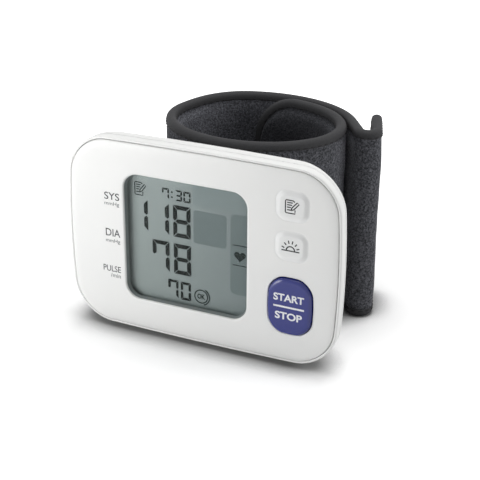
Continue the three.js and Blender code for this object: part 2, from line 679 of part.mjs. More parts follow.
// Air system behind the board
const airY = boardBack + CLEARANCE;
const headHalf = PUMP_DIAMETER / 2 + CLEARANCE / 2;
const motorCan = upright(PUMP_DIAMETER / 2, pumpFootZ, pumpFootZ + PUMP_MOTOR_LENGTH, pumpX, pumpY);
add(unit, 'pump_motor', motorCan, STEEL);
add(unit, 'pump_head', block(
  pumpX - headHalf, pumpX + headHalf, pumpY - headHalf, pumpY + headHalf, pumpHeadZ, pumpTopZ), BLACK_RUBBER);
const valveZ = pumpTopZ + VALVE_HEIGHT;
add(unit, 'exhaust_valve', block(
  pumpX - VALVE_WIDTH / 2, pumpX + VALVE_WIDTH / 2, airY, airY + VALVE_DEPTH,
  valveZ - VALVE_HEIGHT / 2, valveZ + VALVE_HEIGHT / 2), STEEL);
const sensorZ = SADDLE_SCREW_Z - SENSOR_SIZE / 2;
add(unit, 'pressure_sensor', block(
  RING_X - SENSOR_SIZE / 2, RING_X + SENSOR_SIZE / 2, airY, airY + SENSOR_DEPTH,
  sensorZ - SENSOR_SIZE / 2, sensorZ + SENSOR_SIZE / 2), GREY_PLASTIC);

// Soft air lines meet at the nipple's flange
const lineY = airY + TUBE_RADIUS;
const lineEnd = NIPPLE_FLANGE + TUBE_RADIUS;
add(unit, 'air_nipple', nipple(), WHITE_PLASTIC);
add(unit, 'pump_line', tube([
  [pumpX - headHalf - CLEARANCE, lineY, pumpTopZ - TUBE_RADIUS - CLEARANCE],
  [pumpX - headHalf - 4 * TUBE_RADIUS, lineY, pumpTopZ - TUBE_RADIUS - CLEARANCE],
  [(RING_X + pumpX) / 2, lineY, -lineEnd],
  [RING_X + TUBE_RADIUS, lineY, -TUBE_RADIUS],
], TUBE_RADIUS), SILICONE);
add(unit, 'valve_line', tube([
  [pumpX - VALVE_WIDTH / 2 - CLEARANCE, lineY, valveZ],
  [pumpX - VALVE_WIDTH / 2 - 4 * TUBE_RADIUS, lineY, valveZ],
  [RING_X + 2 * lineEnd, lineY, lineEnd],
  [RING_X + 2 * TUBE_RADIUS, lineY, 2 * TUBE_RADIUS],
], TUBE_RADIUS), SILICONE);

// Power
const cellPitch = BATTERY_DIAMETER + CLEARANCE;
[-1, 1].forEach((side, i) => {
  const x = bayX + side * cellPitch / 2;
  const cell = battery().rotateX(side * 90 * DEGREE).translate(x, cellY, -BAY_DROP);
  add(unit, `battery_${i + 1}`, cell, CELL_SLEEVE);
  add(unit, `contact_top_${i + 1}`, contact(x, 1), STEEL);
  add(unit, `contact_bottom_${i + 1}`, contact(x, -1), STEEL);
});
add(unit, 'battery_cover', batteryCover(), WHITE_PLASTIC);

// Screws
caseScrews.forEach(([x, z], i) => {
  add(unit, `case_screw_${i + 1}`, screw(x, z, headY, FACE_WALL + CLEARANCE), STEEL);
});
saddleScrews.forEach(([x, z], i) => {
  const head = REAR_Y - REAR_WALL - CLEARANCE;
  add(unit, `saddle_screw_${i + 1}`, screw(x, z, head, saddleY + SADDLE_SCREW_GRIP), STEEL);
});
add(unit, 'cuff_saddle', saddle(), GREY_PLASTIC);

// Middle line of the cuff in plan, from the flap end round the wrist to the tip of the tail
function cuffRoute() {
  const points = [];
  const marks = {};
  const lapped = (cuffThickness + TAIL_THICKNESS) / 2 + LAP_GAP;
  for (let angle = FLAP_ANGLE; angle >= LEAVE_ANGLE - 360; angle -= 1) {
    const cos = Math.cos(angle * DEGREE);
    const sin = Math.sin(angle * DEGREE);
    const normal = new THREE.Vector2(RING_HALF_DEPTH * cos, RING_HALF_WIDTH * sin).normalize();
    const lap = THREE.MathUtils.smoothstep(-angle, 360 - LAP_START_ANGLE, 360 - LAP_END_ANGLE) * lapped;
    points.push(new THREE.Vector2(
      RING_X + RING_HALF_WIDTH * cos + lap * normal.x, ringY + RING_HALF_DEPTH * sin + lap * normal.y));
    if (angle === HINGE_ANGLE - 360) {
      marks.hinge = points.length - 1;
    }
    if (angle === LAP_END_ANGLE - 360) {
      marks.lapped = points.length - 1;
    }
  }
  marks.leave = points.length - 1;
  const heading = points.at(-1).clone().sub(points.at(-2)).normalize();
  const turn = new THREE.Vector2();
  const start = points.at(-1).clone().addScaledVector(heading, TAIL_RUN);
  const centre = start.clone().add(turn.set(-heading.y, heading.x).multiplyScalar(TAIL_RADIUS));
  for (let angle = 0; angle <= TAIL_TURN; angle += 5) {
    points.push(start.clone().rotateAround(centre, angle * DEGREE));
  }
  heading.rotateAround(new THREE.Vector2(), TAIL_TURN * DEGREE);
  points.push(start.clone().rotateAround(centre, TAIL_TURN * DEGREE).addScaledVector(heading, TAIL_END));
  return { points, marks };
}

const route = cuffRoute();
const travelled = [0];
route.points.forEach((point, i) => {
  if (i > 0) {
    travelled.push(travelled[i - 1] + point.distanceTo(route.points[i - 1]));
  }
});
const cuffLength = travelled.at(-1);
const hingeAt = travelled[route.marks.hinge];
const lappedAt = travelled[route.marks.lapped];
const leaveAt = travelled[route.marks.leave];

function directionAt(i) {
  const before = route.points[Math.max(i - 1, 0)];
  const after = route.points[Math.min(i + 1, route.points.length - 1)];
  return after.clone().sub(before).normalize();
}

// A place in the cuff: along its length, outwards through its thickness, and up.
// Past the hinge there is no bladder, so both faces close in to the tail's thickness.
function cuffPoint(along, out, z) {
  const found = travelled.findIndex((s) => s > along);
  const next = found < 1 ? travelled.length - 1 : found;
  const share = (along - travelled[next - 1]) / (travelled[next] - travelled[next - 1]);
  const place = route.points[next - 1].clone().lerp(route.points[next], share);
  const heading = directionAt(next - 1).lerp(directionAt(next), share).normalize();
  const thinned = THREE.MathUtils.smoothstep(along, hingeAt, lappedAt) * (cuffThickness - TAIL_THICKNESS);
  const depth = out - Math.sign(out) * thinned / 2;
  return new THREE.Vector3(place.x - heading.y * depth, place.y + heading.x * depth, z);
}

// Stations along the upper edge of a stretch, drawn in from the cuff's rim and round its free ends
function upperEdge({ from, to, startCorner, endCorner, pace }, inset) {
  const top = CUFF_HEIGHT - inset;
  const first = from + (startCorner > 0 ? inset : CLEARANCE / 2);
  const last = to - (endCorner > 0 ? inset : CLEARANCE / 2);
  const startRound = Math.max(startCorner - inset, 0);
  const endRound = Math.max(endCorner - inset, 0);
  const edge = [];
  for (let step = 0; startRound > 0 && step < CORNER_STEPS; step += 1) {
    const angle = (step / CORNER_STEPS) * 90 * DEGREE;
    edge.push([first + startRound * (1 - Math.cos(angle)), top - startRound * (1 - Math.sin(angle))]);
  }
  const runFrom = first + startRound;
  const run = last - endRound - runFrom;
  const steps = Math.ceil(run / pace);
  for (let step = 0; step <= steps; step += 1) {
    edge.push([runFrom + (run * step) / steps, top]);
  }
  for (let step = 1; endRound > 0 && step <= CORNER_STEPS; step += 1) {
    const angle = (step / CORNER_STEPS) * 90 * DEGREE;
    edge.push([last - endRound * (1 - Math.sin(angle)), top - endRound * (1 - Math.cos(angle))]);
  }
  return edge;
}

// A sheet of the cuff between two depths of its thickness
function sheet(stretch, inset, inner, outer) {
  return loft(upperEdge(stretch, inset).map(([along, high]) => [
    cuffPoint(along, outer, CUFF_HEIGHT - high),
    cuffPoint(along, inner, CUFF_HEIGHT - high),
    cuffPoint(along, inner, high),
    cuffPoint(along, outer, high),
  ]));
}

// Binding tape along the upper edge and half-way down each free end, with a rounded rim
function binding(stretch) {
  const rim = upperEdge(stretch, 0);
  const core = upperEdge(stretch, BINDING_WIDTH);
  const middle = (CUFF_HEIGHT + CLEARANCE) / 2;
  if (stretch.startCorner > 0) {
    rim.unshift([rim[0][0], middle]);
    core.unshift([core[0][0], middle]);
  }
  if (stretch.endCorner > 0) {
    rim.push([rim.at(-1)[0], middle]);
    core.push([core.at(-1)[0], middle]);
  }
  const share = BINDING_ROUND / BINDING_WIDTH;
  return loft(rim.map(([along, z], i) => {
    const [coreAlong, coreZ] = core[i];
    const shoulderAlong = along + (coreAlong - along) * share;
    const shoulderZ = z + (coreZ - z) * share;
    return [
      cuffPoint(coreAlong, cuffOut, coreZ),
      cuffPoint(coreAlong, -cuffOut, coreZ),
      cuffPoint(shoulderAlong, -cuffOut, shoulderZ),
      cuffPoint(along, -cuffOut + BINDING_ROUND, z),
      cuffPoint(along, cuffOut - BINDING_ROUND, z),
      cuffPoint(shoulderAlong, cuffOut, shoulderZ),
    ];
  }));
}

// The lower binding is the upper one mirrored, with its faces turned to match
function mirrored(geometry) {
  const lower = geometry.clone().scale(1, 1, -1).translate(0, 0, CUFF_HEIGHT);
  const index = lower.getIndex().array;
  for (let i = 0; i < index.length; i += 3) {
    [index[i], index[i + 1]] = [index[i + 1], index[i]];
  }
  return lower;
}

const ring = { from: 0, to: hingeAt, startCorner: FLAP_CORNER, endCorner: 0, pace: CUFF_STEP };
const wrap = { from: hingeAt, to: leaveAt, startCorner: 0, endCorner: 0, pace: CUFF_STEP };
const tail = { from: leaveAt, to: cuffLength, startCorner: 0, endCorner: TAIL_CORNER, pace: TAIL_STEP };
const filling = BINDING_WIDTH + CLEARANCE;
const hole = rod(NIPPLE_RADIUS + CLEARANCE, saddleY, ringFrontY, RING_X, unit.position.z);
const bladderStretch = { ...ring, from: BLADDER_MARGIN, to: hingeAt - BLADDER_MARGIN, startCorner: 0 };

add(cuff, 'cuff_fabric', cut(sheet(ring, filling, fabricIn, cuffOut), hole), LOOP_CLOTH);
add(cuff, 'cuff_curler', cut(sheet(ring, filling, curlerIn, curlerOut), hole), CLEAR_SHEET);
add(cuff, 'cuff_bladder', sheet(bladderStretch, filling, bladderIn, bladderOut), BLADDER_FILM);
add(cuff, 'cuff_lining', sheet(ring, filling, -cuffOut, liningOut), LINING_CLOTH);
add(cuff, 'wrap_fabric', sheet(wrap, filling, fabricIn, cuffOut), LOOP_CLOTH);
add(cuff, 'wrap_pad', sheet(wrap, filling, -cuffOut, padOut), LINING_CLOTH);
add(cuff, 'tail_fabric', sheet(tail, filling, fabricIn, cuffOut), LOOP_CLOTH);
add(cuff, 'tail_hook_pad', sheet(tail, filling, -cuffOut, padOut), LINING_CLOTH);
[['cuff', ring], ['wrap', wrap], ['tail', tail]].forEach(([name, stretch]) => {
  const upper = binding(stretch);
  add(cuff, `${name}_binding_top`, upper, BINDING_TAPE);
  add(cuff, `${name}_binding_bottom`, mirrored(upper), BINDING_TAPE);
});

// Stand the monitor on the ground with its middle over the origin
const bounds = new THREE.Box3().setFromObject(monitor);
const middle = bounds.getCenter(new THREE.Vector3());
monitor.position.set(-middle.x, -middle.y, -bounds.min.z);

export default monitor;
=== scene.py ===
import math

import bmesh
import bpy
import numpy as np
from mathutils import Matrix, Vector
from mathutils.geometry import delaunay_2d_cdt


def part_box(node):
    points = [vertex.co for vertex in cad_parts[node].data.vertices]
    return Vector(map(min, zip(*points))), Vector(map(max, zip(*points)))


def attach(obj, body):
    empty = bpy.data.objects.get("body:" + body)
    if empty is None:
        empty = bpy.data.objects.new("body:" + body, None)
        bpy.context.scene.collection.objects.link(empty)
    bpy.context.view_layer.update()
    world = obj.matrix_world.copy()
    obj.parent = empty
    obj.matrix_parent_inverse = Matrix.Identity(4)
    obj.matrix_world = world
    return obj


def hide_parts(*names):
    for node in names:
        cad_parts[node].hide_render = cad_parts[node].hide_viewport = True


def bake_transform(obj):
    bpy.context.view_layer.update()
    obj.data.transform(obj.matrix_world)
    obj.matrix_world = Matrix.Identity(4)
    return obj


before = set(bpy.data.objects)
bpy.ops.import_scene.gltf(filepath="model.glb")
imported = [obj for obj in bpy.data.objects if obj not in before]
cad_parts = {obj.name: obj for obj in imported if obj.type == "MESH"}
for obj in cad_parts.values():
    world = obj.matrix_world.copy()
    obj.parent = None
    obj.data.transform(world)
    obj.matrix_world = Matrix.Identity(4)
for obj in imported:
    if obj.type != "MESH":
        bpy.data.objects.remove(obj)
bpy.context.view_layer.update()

# Table, lamps and camera
# A white paper sweep under a broad lamp overhead, with a key at the left and a rim light at the right.
# The paper is brighter far from the part, and painted contact shadow darkens it where the part nearly
# touches.
# The camera stands where the photograph was taken from, a little above and to the right.
MM = 0.001
face_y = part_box("front_cover")[0].y
unit_low, unit_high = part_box("side_frame")
unit_z = (unit_low.z + unit_high.z) / 2


def at(x, y, z):
    """A place on the unit, in metres in the shared frame."""
    return Vector((x * MM, face_y + y * MM, unit_z + z * MM))


CAMERA_YAW = math.radians(24.47)
CAMERA_PITCH = math.radians(24.07)
CAMERA_ROLL = math.radians(0.47)
CAMERA_AIM = at(13.69, 0, 6.15)
CAMERA_DISTANCE = 353.75 * MM
CAMERA_LENS = 90

forward = Vector((
    -math.sin(CAMERA_YAW) * math.cos(CAMERA_PITCH),
    math.cos(CAMERA_YAW) * math.cos(CAMERA_PITCH),
    -math.sin(CAMERA_PITCH),
))
level = Vector((math.cos(CAMERA_YAW), math.sin(CAMERA_YAW), 0))
upward = level.cross(forward)
right = level * math.cos(CAMERA_ROLL) + upward * math.sin(CAMERA_ROLL)
upward = upward * math.cos(CAMERA_ROLL) - level * math.sin(CAMERA_ROLL)
camera = bpy.data.objects.new("camera", bpy.data.cameras.new("camera"))
camera.data.lens = CAMERA_LENS
camera.data.sensor_width = 36
camera.matrix_world = Matrix.Translation(CAMERA_AIM - forward * CAMERA_DISTANCE) @ Matrix(
    (right, upward, -forward)).transposed().to_4x4()
bpy.context.collection.objects.link(camera)
bpy.context.scene.camera = camera
bpy.context.scene.view_settings.view_transform = "Standard"


def linear(code):
    """An sRGB hex colour as linear light with full alpha."""
    shares = [int(code[i:i + 2], 16) / 255 for i in (1, 3, 5)]
    return [c / 12.92 if c <= 0.04045 else ((c + 0.055) / 1.055) ** 2.4 for c in shares] + [1.0]


def node(tree, kind, inputs=None, **settings):
    """Adds a node with its settings; an input takes a value, or the socket that feeds it."""
    made = tree.nodes.new(kind)
    for name, value in settings.items():
        setattr(made, name, value)
    for name, value in (inputs or {}).items():
        if isinstance(value, bpy.types.NodeSocket):
            tree.links.new(value, made.inputs[name])
        else:
            made.inputs[name].default_value = value
    return made


def finish(name, sockets):
    """A material whose shader holds what is the same all over the surface."""
    made = bpy.data.materials.new(name)
    made.use_nodes = True
    tree = made.node_tree
    tree.nodes.clear()
    shader = node(tree, "ShaderNodeBsdfPrincipled", sockets)
    node(tree, "ShaderNodeOutputMaterial", {"Surface": shader.outputs[0]})
    return made, tree, shader


def seen_rays(tree):
    """1 for rays that show the background, straight or by way of gloss or glass."""
    rays = node(tree, "ShaderNodeLightPath").outputs
    seen = node(tree, "ShaderNodeMath", {
        0: rays["Is Camera Ray"], 1: rays["Is Glossy Ray"]}, operation="MAXIMUM")
    return node(tree, "ShaderNodeMath", {
        0: seen.outputs[0], 1: rays["Is Transmission Ray"]}, operation="MAXIMUM").outputs[0]


TABLE_LIFT = 0.26
SWEEP_NEAR, SWEEP_FAR = 0.04, 0.2
CONTACT, TOUCHING, CLEAR = 0.013, 0.45, 0.85
TABLE_DROP = 0.1
paper, tree, shader = finish("white_paper", {"Roughness": 0.9, "Specular IOR Level": 0.0})
spot = node(tree, "ShaderNodeTexCoord").outputs["Object"]
away = node(tree, "ShaderNodeVectorMath", {0: spot}, operation="LENGTH")
sweep = node(tree, "ShaderNodeMapRange", {
    "Value": away.outputs["Value"], "From Min": SWEEP_NEAR, "From Max": SWEEP_FAR, "To Min": TABLE_LIFT})
# Painted contact shadow: where occlusion finds the part close by, the paper's colour and its glow are
# darkened.
near = node(tree, "ShaderNodeAmbientOcclusion", {"Distance": CONTACT})
clear = node(tree, "ShaderNodeMapRange", {
    "Value": near.outputs["AO"], "From Min": TOUCHING, "From Max": CLEAR})
shade = node(tree, "ShaderNodeMix", {
    0: clear.outputs["Result"], 6: linear("#A0A0A0"), 7: linear("#EEEEEE")}, data_type="RGBA")
tree.links.new(shade.outputs[2], shader.inputs["Base Color"])
lift = node(tree, "ShaderNodeMath", {
    0: clear.outputs["Result"], 1: sweep.outputs["Result"]}, operation="MULTIPLY")
lift = node(tree, "ShaderNodeMath", {0: seen_rays(tree), 1: lift.outputs[0]}, operation="MULTIPLY")
glow = node(tree, "ShaderNodeEmission", {"Color": linear("#FFFFFF"), "Strength": lift.outputs[0]})
both = node(tree, "ShaderNodeAddShader", {0: shader.outputs[0], 1: glow.outputs[0]})
tree.links.new(both.outputs[0], tree.nodes["Material Output"].inputs["Surface"])

bm = bmesh.new()
bmesh.ops.create_grid(bm, x_segments=2, y_segments=2, size=4)
bmesh.ops.translate(bm, verts=bm.verts, vec=(0, 0, -TABLE_DROP * MM))
table_mesh = bpy.data.meshes.new("table")
bm.to_mesh(table_mesh)
bm.free()
table_mesh.materials.append(paper)
table = bpy.data.objects.new("table", table_mesh)
bpy.context.collection.objects.link(table)

AMBIENT = 0.21
world = bpy.data.worlds.new("studio")
world.use_nodes = True
tree = world.node_tree
tree.nodes.clear()
level_of_light = node(tree, "ShaderNodeMapRange", {
    "Value": seen_rays(tree), "To Min": AMBIENT, "To Max": 1.0})
sky = node(tree, "ShaderNodeBackground", {
    "Color": linear("#FFFFFF"), "Strength": level_of_light.outputs["Result"]})
node(tree, "ShaderNodeOutputWorld", {"Surface": sky.outputs[0]})
bpy.context.scene.world = world

LAMPS_AIM = Vector((0, 0, 30 * MM))
for name, place, width, watts in (
    ("key_lamp", (-165, -215, 66), 140, 0.36),
    ("top_lamp", (0, 60, 500), 300, 1.45),
    ("rim_lamp", (300, 60, 170), 140, 0.31),
):
    lamp = bpy.data.lights.new(name, "AREA")
    lamp.size = width * MM
    lamp.energy = watts
    holder = bpy.data.objects.new(name, lamp)
    holder.location = Vector(place) * MM
    towards = LAMPS_AIM - holder.location
    holder.rotation_euler = towards.to_track_quat("-Z", "Y").to_euler()
    bpy.context.collection.objects.link(holder)

# Front cover
# The crowned white face, injection moulded in ABS with a satin tool, clipped into the side frame.
# Its edge rolls down to the groove, and it is pierced for the window and three buttons.
BODY_WIDTH = (unit_high.x - unit_low.x) / MM
BODY_HEIGHT = (unit_high.z - unit_low.z) / MM
BODY_CORNER = 12.8
SIDE_BOW = 1.7
TOP_BOW = 0.6
FACE_EDGE = 1.0
FACE_ROLL = 3.0
FACE_DROP = 0.5
FACE_WALL = 1.5
FLAT_STEP = 0.3
SKIRT = (2.6, 3.8, 5.3)
WINDOW_X = -4.85
WINDOW = (41.3, 41.6, 4.9)
BUTTON_X = 30.1
START = (14.0, 18.2, 4.6)
START_Z = -12.3
START_BOW = 0.7
KEY = (10.1, 9.0, 3.0)
KEY_PLACES = {"memory": 19.7, "morning": 7.05}
HOLE_GAP = 0.3


def outline(width, height, radius, bow_x=0.0, bow_z=0.0):
    """Rounded rectangle, anticlockwise as the user sees it, with sides that may bow out."""
    half_x, half_z = width / 2, height / 2
    arcs = []
    for corner, (side_x, side_z) in enumerate(((1, 1), (-1, 1), (-1, -1), (1, -1))):
        for step in range(15):
            angle = math.radians(90 * (corner + step / 14))
            arcs.append((
                side_x * (half_x - radius) + radius * math.cos(angle),
                side_z * (half_z - radius) + radius * math.sin(angle)))
    points = []
    for i, (x, z) in enumerate(arcs):
        points.append((x, z))
        if i % 15 == 14:
            next_x, next_z = arcs[(i + 1) % len(arcs)]
            for step in range(1, 16):
                points.append((x + (next_x - x) * step / 16, z + (next_z - z) * step / 16))
    return [(
        x * (1 - bow_x / half_x * (z / half_z) ** 2),
        z * (1 - bow_z / half_z * (x / half_x) ** 2)) for x, z in points]


def ring(points, y, x=0.0, z=0.0):
    return [at(px + x, y, pz + z) for px, pz in points]


def grown(size, grow, bow=0.0):
    width, height, radius = size
    return outline(width + 2 * grow, height + 2 * grow, radius + grow, bow, bow)


def unit_ring(y, inset_x, inset_z=None):
    """The unit's own outline, drawn in from its sides and from its top and bottom."""
    inset_z = inset_x if inset_z is None else inset_z
    radius = BODY_CORNER - min(inset_x, inset_z)
    width, height = BODY_WIDTH - 2 * inset_x, BODY_HEIGHT - 2 * inset_z
    return ring(outline(width, height, radius, SIDE_BOW, TOP_BOW), y)


def loft(bm, loops, closed=False):
    """Quads between loops of points of equal length."""
    made = [[bm.verts.new(p) for p in loop] for loop in loops]
    pairs = list(zip(made, made[1:])) + ([(made[-1], made[0])] if closed else [])
    for low, high in pairs:
        for i, corner in enumerate(low):
            j = (i + 1) % len(low)
            bm.faces.new((corner, low[j], high[j], high[i]))
    return made


def cap(bm, *loops):
    """Fills the flat inside one loop, but for the loops that stand in it."""
    corners = [(v, loop) for loop in loops for v in loop]
    spots = [Vector((v.co.x, v.co.z)) / MM for v, _ in corners]
    rims, first = [], 0
    for loop in loops:
        count = len(loop)
        rims += [(first + i, first + (i + 1) % count) for i in range(count)]
        first += count
    for three in delaunay_2d_cdt(spots, rims, [], 0, 1e-6)[2]:
        if len(loops) > 1 and all(corners[i][1] is corners[three[0]][1] for i in three):
            if corners[three[0]][1] is not loops[0]:
                continue
        bm.faces.new([corners[i][0] for i in three])


def piece(name, bm, *finishes, crease=40):
    """A finished mesh at the origin, smooth but for its sharp edges."""
    bmesh.ops.recalc_face_normals(bm, faces=bm.faces)
    mesh = bpy.data.meshes.new(name)
    bm.to_mesh(mesh)
    bm.free()
    for look in finishes:
        mesh.materials.append(look)
    mesh.shade_smooth()
    mesh.set_sharp_from_angle(angle=math.radians(crease))
    made = bpy.data.objects.new(name, mesh)
    bpy.context.collection.objects.link(made)
    return made


# Moulded ABS: near white and faintly warm, satin, with the tool's fine grain just visible.
# The real grain is under a tenth of a millimetre, and is drawn coarser here so that it shows.
SHELL_GRAIN = 0.45
SHELL_CLOUD = 26
PIT_DEPTH = 0.02
ABS_IOR = 1.53


def white_abs(name, light, shade, roughness, grain):
    look, tree, shader = finish(name, {"IOR": ABS_IOR})
    place = node(tree, "ShaderNodeTexCoord").outputs["Object"]
    cloud = node(tree, "ShaderNodeTexNoise", {
        "Vector": place, "Scale": 1 / (SHELL_CLOUD * MM), "Detail": 2.0})
    tone = node(tree, "ShaderNodeMix", {
        0: cloud.outputs["Fac"], 6: linear(light), 7: linear(shade)}, data_type="RGBA")
    tree.links.new(tone.outputs[2], shader.inputs["Base Color"])
    pits = node(tree, "ShaderNodeTexNoise", {
        "Vector": place, "Scale": 1 / (SHELL_GRAIN * MM), "Detail": 3.0})
    gloss = node(tree, "ShaderNodeMapRange", {
        "Value": pits.outputs["Fac"], "To Min": roughness - 0.05, "To Max": roughness + 0.07})
    tree.links.new(gloss.outputs["Result"], shader.inputs["Roughness"])
    bump = node(tree, "ShaderNodeBump", {
        "Height": pits.outputs["Fac"], "Strength": grain, "Distance": PIT_DEPTH * MM})
    tree.links.new(bump.outputs["Normal"], shader.inputs["Normal"])
    return look


face_white = white_abs("satin_white_abs", "#F1F1EF", "#ECEDEC", 0.34, 0.25)

bm = bmesh.new()
loops = [unit_ring(0, FACE_EDGE + FACE_ROLL + FLAT_STEP)]
for step in range(11):
    turn = math.radians(90 * step / 10)
    loops.append(unit_ring(
        FACE_DROP * (1 - math.cos(turn)), FACE_EDGE + FACE_ROLL * (1 - math.sin(turn))))
loops += [
    unit_ring(FACE_WALL, FACE_EDGE), unit_ring(FACE_WALL, SKIRT[0]), unit_ring(SKIRT[2], SKIRT[0]),
    unit_ring(SKIRT[2], SKIRT[1]), unit_ring(FACE_WALL, SKIRT[1])]
made = loft(bm, loops)
fronts, backs = [made[0]], [made[-1]]
window_lip = ((0, 0.75), (0, 0.6), (0.06, 0.36), (0.2, 0.14), (0.42, 0.02), (0.6, 0), (FACE_WALL, 0))
start_lip = ((0, 0.75), (0, 0.6), (0.05, 0.44), (0.16, 0.34), (0.3, HOLE_GAP), (FACE_WALL, HOLE_GAP))
key_lip = ((0, 0.6), (0, 0.45), (0.015, 0.36), (0.05, HOLE_GAP), (FACE_WALL, HOLE_GAP))
openings = [(WINDOW, 0, WINDOW_X, 0, window_lip), (START, START_BOW, BUTTON_X, START_Z, start_lip)]
openings += [(KEY, 0, BUTTON_X, z, key_lip) for z in KEY_PLACES.values()]
for size, bow, x, z, lip in openings:
    hole = loft(bm, [ring(grown(size, grow, bow), y, x, z) for y, grow in lip])
    fronts.append(hole[0])
    backs.append(hole[-1])
cap(bm, *fronts)
cap(bm, *backs)
face = piece("front_face", bm, face_white)
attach(face, "monitor")
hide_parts("front_cover")

# Side frame
# A white ABS ring round the face. Its bright rounded lip stands beside the dark groove, and its
# back edge meets the rear case at the parting line.
GROOVE = 0.78
LIP, LIP_FRONT, LIP_ROLL = 0.4, 0.45, 0.55
FRAME_BACK, FRAME_INSIDE, FRAME_STEP = 3.54, 2.3, 1.8
bm = bmesh.new()
section = [(GROOVE, 0.62), (0.72, 0.5), (0.62, LIP_FRONT), (LIP, LIP_FRONT)]
for turn in np.radians((15, 30, 45, 60, 75, 90)):
    section.append((LIP - LIP * math.sin(turn), LIP_FRONT + LIP_ROLL - LIP_ROLL * math.cos(turn)))
section += [(0, 3.4), (0.04, 3.5), (0.12, FRAME_BACK), (FRAME_INSIDE, FRAME_BACK)]
section += [(FRAME_INSIDE, FRAME_STEP), (GROOVE, FRAME_STEP)]
loft(bm, [unit_ring(y, inset) for inset, y in section], closed=True)
frame_ring = piece("frame_ring", bm, face_white)
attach(frame_ring, "monitor")
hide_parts("side_frame")

# Printing on the face
# Pad-printed function words and units beside the window, a few hundredths of a millimetre thick.
# The words are dark grey and the units under them a paler one.
INK = 0.03
INK_PATCH = 0.6
INK_THICK = 0.8


def ink(name, colour, roughness):
    """Ink, bond or thread of one colour: dull, and darker in small patches where it lies thicker."""
    look, tree, shader = finish(name, {"Roughness": roughness, "Specular IOR Level": 0.2})
    place = node(tree, "ShaderNodeTexCoord").outputs["Object"]
    uneven = node(tree, "ShaderNodeTexNoise", {
        "Vector": place, "Scale": 1 / (INK_PATCH * MM), "Detail": 2.0})
    dark = [INK_THICK * c for c in linear(colour)[:3]] + [1.0]
    tone = node(tree, "ShaderNodeMix", {
        0: uneven.outputs["Fac"], 6: linear(colour), 7: dark}, data_type="RGBA")
    tree.links.new(tone.outputs[2], shader.inputs["Base Color"])
    return look


def words(name, text, low, high, y, look, weight=0.0):
    """Lettering that fills the box from low to high on the surface at y."""
    letters = bpy.data.curves.new(name, "FONT")
    letters.body = text
    letters.offset = weight
    letters.extrude = 0.05
    letters.resolution_u = 5
    drawn = bpy.data.objects.new(name, letters)
    bpy.context.collection.objects.link(drawn)
    ready = drawn.evaluated_get(bpy.context.evaluated_depsgraph_get())
    mesh = bpy.data.meshes.new_from_object(ready)
    bpy.data.objects.remove(drawn)
    places = np.array([v.co for v in mesh.vertices])
    share = (places - places.min(0)) / (places.max(0) - places.min(0))
    for vertex, (across, up, out) in zip(mesh.vertices, share):
        vertex.co = at(
            low[0] + across * (high[0] - low[0]), y - out * INK, low[1] + up * (high[1] - low[1]))
    bm = bmesh.new()
    bm.from_mesh(mesh)
    bmesh.ops.remove_doubles(bm, verts=bm.verts, dist=1e-7)
    bpy.data.meshes.remove(mesh)
    return piece(name, bm, look, crease=30)


label_ink = ink("grey_label_ink", "#4C4D50", 0.55)
unit_ink = ink("pale_unit_ink", "#6E7073", 0.55)
for name, text, low, high, look, weight in (
    ("label_sys", "SYS", (-32.25, 11.25), (-27.0, 13.65), label_ink, 0.004),
    ("label_sys_unit", "mmHg", (-32.25, 9.05), (-27.1, 10.6), unit_ink, 0.0),
    ("label_dia", "DIA", (-32.2, -1.0), (-27.1, 1.5), label_ink, 0.004),
    ("label_dia_unit", "mmHg", (-32.25, -3.45), (-27.2, -1.9), unit_ink, 0.0),
    ("label_pulse", "PULSE", (-33.55, -13.2), (-27.3, -11.15), label_ink, 0.002),
    ("label_pulse_unit", "/min", (-30.95, -15.1), (-27.4, -13.7), unit_ink, 0.0),
):
    label = words(name, text, low, high, 0, look, weight)
    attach(label, "monitor")

# Display window
# A clear acrylic pane behind the face; the grey lining of its opening is its bond line and partly painted
# shade.
# It lets the lamps through to the display, as a thin real pane does.

# Polished acrylic: clear, with only a faint gloss. Its index is set below the real 1.49, because
# the white room's full reflection would veil the display.
PANE_TINT = linear("#F4F8F7")
pane, tree, shader = finish("clear_acrylic", {
    "Base Color": PANE_TINT, "Roughness": 0.03, "IOR": 1.1, "Transmission Weight": 1.0})
rays = node(tree, "ShaderNodeLightPath").outputs
lit = node(tree, "ShaderNodeMath", {
    0: rays["Is Shadow Ray"], 1: rays["Is Diffuse Ray"]}, operation="MAXIMUM")
open_air = node(tree, "ShaderNodeBsdfTransparent", {"Color": PANE_TINT})
mixed = node(tree, "ShaderNodeMixShader", {
    0: lit.outputs[0], 1: shader.outputs[0], 2: open_air.outputs[0]})
tree.links.new(mixed.outputs[0], tree.nodes["Material Output"].inputs["Surface"])
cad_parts["display_window"].data.materials[0] = pane

# The lining's grey is partly painted shade: it darkens the wall of the opening, where the recess is shaded.
bond_and_shade_grey = ink("grey_bond_and_painted_shade", "#8C9392", 0.6)
bm = bmesh.new()
loft(bm, [ring(grown(WINDOW, grow), y, WINDOW_X) for y, grow in (
    (0.6, -0.03), (1.74, -0.03), (1.74, -0.45), (1.66, -0.43))], closed=True)
bond = piece("window_bond_and_painted_shade", bm, bond_and_shade_grey)
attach(bond, "monitor")

# Liquid crystal display
# Grey reflective glass with dark segments, a faint block for each unused field, a block of painted sheen, a
# time of day, three readings, and small marks. All of it is drawn on the front of the glass.
LCD_Y = (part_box("lcd_panel")[0].y - face_y) / MM
